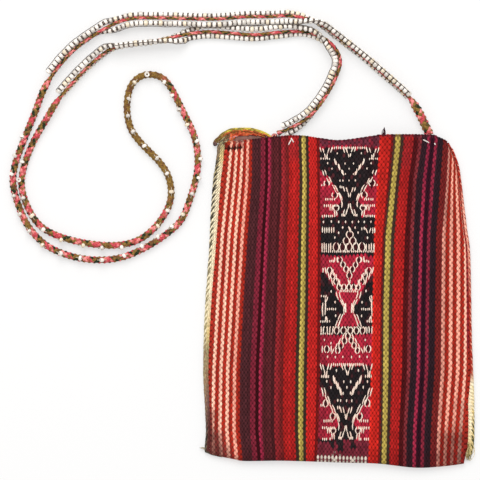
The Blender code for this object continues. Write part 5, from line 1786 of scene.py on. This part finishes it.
@dataclass
class Strap:
    """The braided strap, sewn to both ends of the mouth, with its two beaded runs and the loop between them."""

    route: StrapRoute
    stringer: BeadStringer
    period: float = 0.0136
    stations: int = 16
    run_braid: float = 0.0027
    flare: float = 0.26
    flare_ends: tuple[float, float] = (0.012, 0.040)
    splay: float = 0.15
    strand_share: float = 0.20
    flatness: float = 0.58
    ring_share: float = 0.30
    weave_share: float = 0.08
    core_share: float = 0.27
    thread_radius: float = 0.00165
    shadow_line_radius: float = 0.00024
    row_shift: float = 0.00025
    loop_bead_size: float = 0.82
    loop_bead_reach: float = 0.0009
    loop_bead_gap: float = 0.0055
    loop_bead_drift: float = 0.0019
    loop_margin: float = 0.004
    loop_thread: float = 0.00028
    plain_fade: float = 0.01
    # The coral strands stray to pale pink: painted highlight on the yarn
    strands: tuple[tuple[Dye, Dye, float], ...] = (
        (Dye.BRAID_CORAL, Dye.BRAID_PINK, 0.55), (Dye.BRAID_CORAL, Dye.BRAID_PINK, 0.40),
        (Dye.BRAID_OLIVE, Dye.YARN_BROWN, 0.40), (Dye.BRAID_GREEN, Dye.BRAID_OLIVE, 0.20),
        (Dye.BRAID_CORAL, Dye.BRAID_PINK, 0.45), (Dye.BRAID_CORAL, Dye.BRAID_OLIVE, 0.55),
        (Dye.BRAID_OLIVE, Dye.YARN_BROWN, 0.30), (Dye.BRAID_OLIVE, Dye.BRAID_GREEN, 0.45))
    plain_ends: Pairs = ((157, 75.5), (171, 196))
    ring_beads: Pairs = ((147, 74.4), (17.4, 179.5))
    loop_places: Pairs = (
        (20, 136), (14, 155.5), (20, 161), (11.5, 174), (17.4, 179.5), (13.7, 196), (23, 198), (19.5, 214),
        (32, 216), (29, 231), (43, 229.6), (42, 245), (60.6, 253.4), (80, 258), (102, 260), (60, 244), (82, 249),
        (102, 249.5), (122, 249.5), (124, 255.6), (141.4, 245), (157, 235.5), (158, 226), (172, 226.5), (183, 214),
        (192, 194), (199, 178), (201, 159), (197, 141), (187, 124.5), (178, 110), (169, 97), (164, 82),
        (147, 74.4), (134.4, 82.6), (129, 98.5), (128, 116), (133, 131.5), (144.5, 146), (157, 158), (167, 173.5),
        (171.4, 192), (167.8, 210.5))

    def frames(self, along: Array) -> tuple[Array, Array, Array, Array]:
        """The strap's middle, its heading, and the directions to its left and upwards at distances along it."""
        heading = self.route.line.heading(along)
        left = sideways(heading)
        return self.route.line.at(along), heading, left, np.cross(heading, left)

    def braid(self, finishes: Finishes) -> Object:
        """Makes the eight strands of the braid, four turning each way, over and under each other round a core."""
        shape = Shape()
        count = int(self.route.line.length / self.period * self.stations)
        along = np.linspace(0.0, self.route.line.length, count + 1)
        middle, _, left, up = self.frames(along)
        narrow = self.route.band_share(along)
        size = self.route.braid * (1 - narrow) + self.run_braid * narrow
        size = size * (1 + self.flare * (1 - smooth_step(*self.flare_ends, along)))
        width = 1 + self.splay * (1 - narrow)[:, None]
        turn = 2 * np.pi * along / self.period
        bare = sorted(self.route.nearest(*place) for place in self.plain_ends)
        plain = (smooth_step(bare[0] - self.plain_fade, bare[0], along[1:])
                 * smooth_step(-bare[1] - self.plain_fade, -bare[1], -along[1:]))
        for index, (dye, other, share) in enumerate(self.strands):
            way = 1 if index < 4 else -1
            reach = size * (self.ring_share + way * self.weave_share * np.cos(2 * turn * 2))
            angle = way * turn + np.pi / 4 + index % 4 * np.pi / 2
            out = left * width * np.cos(angle)[:, None] + up * np.sin(angle)[:, None]
            colours = blended(mottled(dye, other, count, 100 + index, share),
                              mottled(Dye.BRAID_OLIVE, Dye.YARN_BROWN, count, 120 + index, 0.3), plain[:, None])
            add_yarn(shape, middle + out * reach[:, None], size * self.strand_share, colours, lay=0.0034,
                     flatness=self.flatness, ups=out)
        # Painted shade: a darker copy of the brown yarn fills the gaps between the strands
        add_yarn(shape, middle[::2], size[::2] * self.core_share, Dye.YARN_BROWN.linear * 0.6, corners=8,
                 lay=0.0034)
        return shape.build("strap_cord", "strap_braid", "coral_and_olive_braid", finishes.braid)

    def bead_row(self, name: str, node: str, run: tuple[float, float], turns: Pairs, seed: int,
                 finishes: Finishes) -> Object:
        """Makes a row of beads strung along one edge of a run.

        Args:
            name: The piece's name.
            node: The node that it stands for.
            run: Where the run starts and ends along the strap.
            turns: How the row stands round the braid.
            seed: The seed of its unevenness.
            finishes: The materials.

        Returns:
            The row.
        """
        noise = np.random.default_rng(seed)
        low, high = run
        count = int((high - low) / self.route.pitch)
        share = (np.arange(count) + 0.5) / count
        distances = low + (high - low) * share
        middle, heading, left, up = self.frames(distances)
        turn = np.radians(eased(turns, share))
        out = left * np.cos(turn)[:, None] + up * np.sin(turn)[:, None]
        middles = middle + out * (self.route.row_reach() + self.row_shift)
        middles = middles + out * noise.normal(0.0, 0.00010, (count, 1))
        middles[:, 2] = np.maximum(middles[:, 2], self.stringer.hole_reach + self.stringer.wall)
        shape = Shape()
        for middle, way in zip(middles, heading):
            self.stringer.add_bead(shape, middle, way, noise)
        add_yarn(shape, middles, self.thread_radius, Dye.THREAD_GREY.linear, corners=5, lay=0.0012, finish=1)
        # Painted shadow: a thin dark thread along the row's outer side stands for the dark line where the beads
        # meet the ground
        beside = middles + out * (self.stringer.hole_reach + self.stringer.wall + self.shadow_line_radius * 0.4)
        beside[:, 2] = np.maximum(beside[:, 2], self.shadow_line_radius)
        add_yarn(shape, beside, self.shadow_line_radius, Dye.THREAD_GREY.linear, corners=5, lay=0.0012, finish=1)
        return shape.build(name, node, "white_glass_bead", finishes.beads, finishes.cotton)

    def loop_beads(self, finishes: Finishes) -> Object:
        """Makes the single beads sewn on top of the plain braid."""
        noise = np.random.default_rng(77)
        line = self.route.line
        low, high = self.route.right_run[1] + self.loop_margin, self.route.left_run[0] - self.loop_margin
        along = np.linspace(low, high, 1400)
        course = line.at(along)
        shape = Shape()
        taken: list[float] = []
        for column, row in self.loop_places:
            place = chart_place(column, row, STRAP_HEIGHT + 0.002)
            apart = np.linalg.norm(course[:, :2] - place, axis=1)
            for distance in taken:
                apart[np.abs(along - distance) < self.loop_bead_gap] = 1.0
            nearest = int(np.argmin(apart))
            taken.append(float(along[nearest]))
            middle, heading = course[nearest], line.heading(along[nearest:nearest + 1])[0]
            side = sideways(heading[None])[0]
            drift = np.dot(place - middle[:2], side[:2])
            lateral = float(np.clip(drift, -self.loop_bead_drift, self.loop_bead_drift))
            rise = math.sqrt((self.route.braid * 0.5 + self.loop_bead_reach) ** 2 - lateral ** 2)
            seat = middle + side * lateral + np.array((0.0, 0.0, rise))
            if (column, row) in self.ring_beads:
                self.stringer.add_bead(shape, seat, np.array((0.2, 0.1, 1.0)), noise, 0.1, self.loop_bead_size)
                continue
            self.stringer.add_bead(shape, seat, heading, noise, 0.22, self.loop_bead_size)
            stitch = np.linspace(-1.0, 1.0, 9)[:, None]
            path = seat + heading * stitch * 0.0030 - np.array((0.0, 0.0, 1.0)) * 0.0014 * stitch ** 2
            add_yarn(shape, path, self.loop_thread, Dye.BEAD_CREAM.linear * 0.7, corners=5, lay=0.0012, finish=1)
        return shape.build("loop_bead_string", "loop_beads", "white_glass_bead", finishes.beads, finishes.cotton)

    def build(self, finishes: Finishes) -> Object:
        """Args:
            finishes: The materials.

        Returns:
            The braid.
        """
        cord = self.braid(finishes)
        runs = ((self.route.right_run, self.route.right_turns, "right_run"),
                (self.route.left_run, self.route.left_turns, "left_run"))
        beads = []
        for run, rows, side in runs:
            for number, turns in zip(("one", "two"), rows):
                node = f"{side}_bead_row_{number}"
                name = f"{side}_beads_{number}"
                beads.append(self.bead_row(name, node, run, turns, 60 + len(beads), finishes))
        beads.append(self.loop_beads(finishes))
        return cord


@dataclass
class WrappedKnot:
    """A small knot of yarn wound round and round itself."""

    name: str
    node: str
    slot: str
    dyes: tuple[Dye, Dye]
    yarn_radius: float = 0.00048
    turns: int = 8
    tilt: float = 0.55
    seed: int = 3
    shift: tuple[float, float, float] = (0.0, 0.0, 0.0)

    def build(self, finishes: Finishes) -> None:
        """Makes the knot in its node's box."""
        low, high = (np.array(corner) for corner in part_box(self.node))
        middle, reach = (low + high) / 2 + np.array(self.shift), (high - low) / 2 - self.yarn_radius * 0.8
        turn = np.linspace(0.0, 2 * np.pi * self.turns, self.turns * 16 + 1)
        slow = turn * 0.23 + 0.4
        first = np.stack([np.cos(slow), np.sin(slow), np.zeros_like(slow)], axis=-1)
        second = np.stack([-np.sin(slow) * self.tilt, np.cos(slow) * self.tilt, np.full_like(slow, 0.8)],
                          axis=-1)
        path = middle + (first * np.cos(turn)[:, None] + unit(second) * np.sin(turn)[:, None]) * reach
        shape = Shape()
        add_yarn(shape, path, self.yarn_radius, mottled(*self.dyes, len(path) - 1, self.seed, 0.5), lay=0.0022)
        # Painted shade: a darker copy of the first yarn fills the gaps between the turns
        core = np.linspace(-0.85, 0.85, 7)
        spine = middle + np.array((0.0, 0.0, 1.0)) * (core * reach[2])[:, None]
        add_yarn(shape, spine, np.sqrt(1 - core ** 2) * min(reach[0], reach[1]) * 0.9, self.dyes[0].linear * 0.6,
                 corners=8)
        shape.build(self.name, self.node, self.slot, finishes.yarn)


@dataclass
class LooseEnd:
    """A short end of yarn whose fibres have come apart."""

    name: str
    node: str
    slot: str
    root: Array
    tip: Array
    spread: float
    dyes: tuple[Dye, Dye]
    fibres: int = 16
    fibre_radius: float = 0.00017
    flare: float = 1.0
    mount: Mount = Mount.BACK
    seed: int = 4

    def build(self, finishes: Finishes) -> None:
        """Makes the fibres from the root to the tip."""
        noise = np.random.default_rng(self.seed)
        shape = Shape()
        reach = self.tip - self.root
        side = unit(np.cross(reach, (0.0, 0.0, 1.0)))
        up = unit(np.cross(side, reach))
        steps = np.linspace(0.0, 1.0, 8)
        for _ in range(self.fibres):
            start = noise.normal(0.0, 0.35, 2) * self.spread / 2
            end = noise.normal(0.0, 0.35, 2) * self.spread / 2 * self.flare
            bend = noise.normal(0.0, 0.18, 2) * self.spread
            length = 0.7 + 0.3 * noise.random()
            offset = start + (end - start) * steps[:, None] + bend * np.sin(steps * np.pi)[:, None]
            offset[:, 1] = np.clip(offset[:, 1], -self.spread * 0.3, self.spread * 0.3)
            path = self.root + reach * (steps * length)[:, None] + side * offset[:, :1] + up * offset[:, 1:]
            dye = blended(self.dyes[0].linear, self.dyes[1].linear, noise.random())
            add_yarn(shape, path, self.fibre_radius * (1.1 - 0.8 * steps), dye, corners=5, lay=0.0015)
        shape.build(self.name, self.node, self.slot, finishes.yarn, mount=self.mount)


@dataclass
class SewingStitch:
    """A stitch of doubled white cotton near the mouth."""

    name: str
    node: str
    plan: BagPlan
    strokes: tuple[tuple[tuple[float, float], tuple[float, float]], ...]
    thread_radius: float = 0.00024
    rise: float = 0.00042
    sunk: float = 0.0001

    def build(self, finishes: Finishes) -> None:
        """Makes the strokes of the stitch on the face of the bag; they are in chart squares."""
        shape = Shape()
        steps = np.linspace(0.0, 1.0, 13)
        for start, end in self.strokes:
            first, last = chart_place(*start, FACE_HEIGHT), chart_place(*end, FACE_HEIGHT)
            run = first + (last - first) * steps[:, None]
            side = unit(np.array((-(last - first)[1], (last - first)[0])))
            high = self.plan.face_height(run[:, 0], run[:, 1])
            for strand in (0.0, np.pi):
                turn = 2 * np.pi * 1.5 * steps + strand
                flat = run + side * (np.cos(turn) * self.thread_radius * 0.9)[:, None]
                arch = self.rise * np.sin(np.pi * steps) ** 0.5
                z = high + arch + np.sin(turn) * self.thread_radius * 0.9 - self.sunk
                path = np.column_stack((flat, z))
                add_yarn(shape, path, self.thread_radius, Dye.WHITE_COTTON.linear, lay=0.0011)
        shape.build(self.name, self.node, "white_sewing_thread", finishes.cotton, mount=Mount.POUCH)


@dataclass
class Studio:
    """A plain pale ground under soft light, and a long lens straight above."""

    focal_length: float = 300.0
    sensor: float = 36.0
    ground_size: float = 6.0
    ground_drop: float = 0.0002
    world_strength: float = 0.80
    lamp_power: float = 30.0
    lamp_size: float = 1.3
    lamp_place: tuple[float, float, float] = (-0.25, 1.25, 1.55)
    camera_lift: float = 0.56

    def build(self) -> None:
        """Makes the ground, the lights and the camera."""
        self.make_ground()
        self.make_world()
        self.make_lamp()
        self.make_camera()

    def make_ground(self) -> None:
        """Makes the pale board that everything lies on."""
        bpy.ops.object.select_all(action="DESELECT")
        bpy.ops.mesh.primitive_plane_add(size=self.ground_size, location=(0.0, 0.0, 0.0))
        ground = bpy.context.object
        ground.name = "studio_ground"
        for vertex in ground.data.vertices:
            vertex.co.z = -self.ground_drop
        ground.data.materials.append(self.board())

    def board(self) -> Material:
        """Matt white paper board; rays from the camera see it partly lit from behind, so it stays white."""
        material, tree = new_material("matt_white_paper_board")
        place = add_node(tree, "TexCoord").outputs["Object"]
        grain = add_node(tree, "TexNoise", {"Scale": 900.0, "Detail": 2.0}, {"Vector": place})
        bump = add_node(tree, "Bump", {"Strength": 0.05, "Distance": 0.0001}, {"Height": grain})
        matt = add_node(tree, "BsdfPrincipled", {"Base Color": (*Dye.PAPER.linear, 1.0), "Roughness": 0.95,
                                                 "Specular IOR Level": 0.1}, {"Normal": bump})
        glow = add_node(tree, "Emission", {"Color": (1.0, 1.0, 1.0, 1.0), "Strength": 1.0})
        rays = add_node(tree, "LightPath").outputs
        seen = add_node(tree, "Math", {"operation": "MAXIMUM"},
                        {0: rays["Is Camera Ray"], 1: rays["Is Glossy Ray"]})
        seen = add_node(tree, "Math", {"operation": "MAXIMUM"}, {0: seen, 1: rays["Is Transmission Ray"]})
        share = add_node(tree, "Math", {"operation": "MULTIPLY", 1: self.camera_lift}, {0: seen})
        mix = add_node(tree, "MixShader", links={0: share, 1: matt, 2: glow})
        add_node(tree, "OutputMaterial", links={"Surface": mix})
        return material

    def make_world(self) -> None:
        """Makes an even white sky."""
        world = bpy.data.worlds.new("soft_room")
        world.use_nodes = True
        background = world.node_tree.nodes["Background"]
        background.inputs["Color"].default_value = (1.0, 1.0, 1.0, 1.0)
        background.inputs["Strength"].default_value = self.world_strength
        bpy.context.scene.world = world

    def make_lamp(self) -> None:
        """Hangs one broad lamp past the mouth of the bag."""
        data = bpy.data.lights.new("broad_lamp", "AREA")
        data.size = self.lamp_size
        data.energy = self.lamp_power
        lamp = bpy.data.objects.new("broad_lamp", data)
        lamp.location = self.lamp_place
        aim = Vector((CAMERA_PLACE[0], CAMERA_PLACE[1], 0.0)) - Vector(self.lamp_place)
        lamp.rotation_euler = aim.to_track_quat("-Z", "Y").to_euler()
        bpy.context.scene.collection.objects.link(lamp)

    def make_camera(self) -> None:
        """Hangs the camera straight over the middle of its frame."""
        data = bpy.data.cameras.new("overhead_camera")
        data.lens = self.focal_length
        data.sensor_width = self.sensor
        data.clip_end = 20.0
        camera = bpy.data.objects.new("overhead_camera", data)
        camera.location = CAMERA_PLACE
        bpy.context.scene.collection.objects.link(camera)
        bpy.context.scene.camera = camera
        bpy.context.scene.view_settings.view_transform = "Standard"


def seams(plan: BagPlan) -> list[OvercastSeam]:
    """The bag's two side seams.

    Args:
        plan: The bag's plan.

    Returns:
        The left seam, which goes on round the corner of the fold, and the right one.
    """
    corner = ((-0.425, -0.4845), (-0.448, -0.4805), (-0.470, -0.4760), (-0.4845, -0.4700))
    left = OvercastSeam(
        "left_seam_stitches", "left_side_seam", plan.outline((*corner, *plan.left_shares)), plan.left_seam, 1,
        ("143 SEAM_BROWN SEAM_DARK SEAM_OLIVE",
         "156 SEAM_DARK SEAM_BROWN SEAM_YELLOW",
         "170 SEAM_BLACK SEAM_OLIVE SEAM_CREAM",
         "195 SEAM_BLACK SEAM_CREAM SEAM_CREAM",
         "255 SEAM_DARK SEAM_CREAM SEAM_CREAM",
         "300 SEAM_OLIVE SEAM_CREAM SEAM_CREAM",
         "332 SEAM_OLIVE SEAM_CREAM SEAM_YELLOW",
         "350 SEAM_BROWN SEAM_OLIVE SEAM_OLIVE",
         "376 SEAM_BROWN SEAM_OLIVE SEAM_BROWN",
         # Lower down, near the corner, the seam darkens with painted shade where the bag curves away
         "400 SEAM_BROWN GREY_MAUVE GREY_MAUVE",
         "425 SEAM_BLACK GREY_MAUVE SCORCH",
         "445 SEAM_BLACK SEAM_DARK SCORCH"))
    right = OvercastSeam(
        "right_seam_stitches", "right_side_seam", plan.right, plan.right_seam, -1,
        ("150 BRICK CREAM BRICK",
         "185 BRICK CREAM BRICK",
         "215 BRICK CREAM CREAM",
         "300 EDGE_RED CREAM EDGE_RED",
         "372 EDGE_RED SEAM_PINK EDGE_RED",
         "384 SEAM_CREAM SEAM_YELLOW SEAM_CREAM",
         "410 SEAM_YELLOW SEAM_CREAM SEAM_CREAM",
         "425 FRAY_OLIVE SEAM_YELLOW SEAM_CREAM",
         "446 FRAY_OLIVE SEAM_YELLOW SEAM_YELLOW"),
        start=0.0022, stop=0.0040)
    return [left, right]


def loose_ends() -> list[LooseEnd]:
    """The three short ends of yarn, each from its root to its tip in its node's box."""
    tuft, tail, fray = ([np.array(corner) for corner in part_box(node)]
                        for node in ("mouth_yarn_tuft", "bottom_left_tail", "bottom_right_fray"))
    tuft_middle, tail_middle, fray_middle = ((low + high) / 2 for low, high in (tuft, tail, fray))
    return [
        LooseEnd("mouth_thread_tuft", "mouth_yarn_tuft", "maroon_edge_yarn",
                 np.array((tuft_middle[0], tuft[0][1] - 0.0008, tuft_middle[2])),
                 np.array((tuft_middle[0] + 0.0002, tuft[1][1], tuft_middle[2])), 0.0034, (Dye.TUFT, Dye.MAROON),
                 fibres=36, flare=0.22, mount=Mount.POUCH),
        LooseEnd("bottom_left_tail_fibres", "bottom_left_tail", "grey_loose_yarn",
                 np.array((tail[1][0] + 0.0006, tail_middle[1] - 0.0004, tail_middle[2])),
                 np.array((tail[0][0], tail_middle[1] + 0.0004, tail_middle[2])), 0.0018,
                 (Dye.TAIL_GREY, Dye.SEAM_CREAM), fibres=14, flare=0.5, seed=5),
        LooseEnd("bottom_right_fray_fibres", "bottom_right_fray", "olive_loose_yarn",
                 np.array((fray[1][0] - 0.0020, fray[1][1] + 0.0030, fray_middle[2])),
                 np.array((fray[0][0] + 0.0004, fray[0][1] - 0.0014, fray_middle[2])), 0.0052,
                 (Dye.FRAY_OLIVE, Dye.SEAM_YELLOW), fibres=70, fibre_radius=0.00021, flare=1.1, seed=6)]


def main() -> None:
    """Builds every sub-assembly in order."""
    logging.basicConfig(level=logging.INFO, format="%(name)s %(message)s")
    LOG.info("packed model has %d nodes", len(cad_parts))
    Studio().build()
    finishes = Finishes()
    plan, drape, draft = BagPlan(), Drape(), BandDraft()
    strap = Strap(StrapRoute(), BeadStringer())
    strap.build(finishes)
    cloth = Cloth(plan, drape, draft)
    front, back = cloth.build(finishes)
    MouthEdges(plan, drape, cloth).build(finishes)
    for seam in seams(plan):
        seam.build(finishes)
    CornerBinding(plan).build(finishes)
    for knot in (WrappedKnot("left_corner_wrap", "left_corner_knot", "maroon_edge_yarn",
                             (Dye.NAVY, Dye.GREY_MAUVE), shift=(-0.0012, -0.0026, 0.0)),
                 WrappedKnot("left_strap_wrap", "left_strap_knot", "coral_and_olive_braid",
                             (Dye.YARN_BROWN, Dye.BRAID_PINK), seed=9),
                 WrappedKnot("right_strap_wrap", "right_strap_knot", "coral_and_olive_braid",
                             (Dye.BRAID_CORAL, Dye.MAROON), seed=10)):
        knot.build(finishes)
    for end in loose_ends():
        end.build(finishes)
    SewingStitch("left_stitch_threads", "left_sewing_stitch", plan,
                 (((288.6, 144.6), (291.4, 139.2)), ((291.2, 138.2), (293.6, 142.2)))).build(finishes)
    SewingStitch("right_stitch_threads", "right_sewing_stitch", plan,
                 (((423.6, 139.6), (429.4, 142.6)), ((435.0, 143.0), (435.6, 144.6)))).build(finishes)


if __name__ == "__main__":
    main()
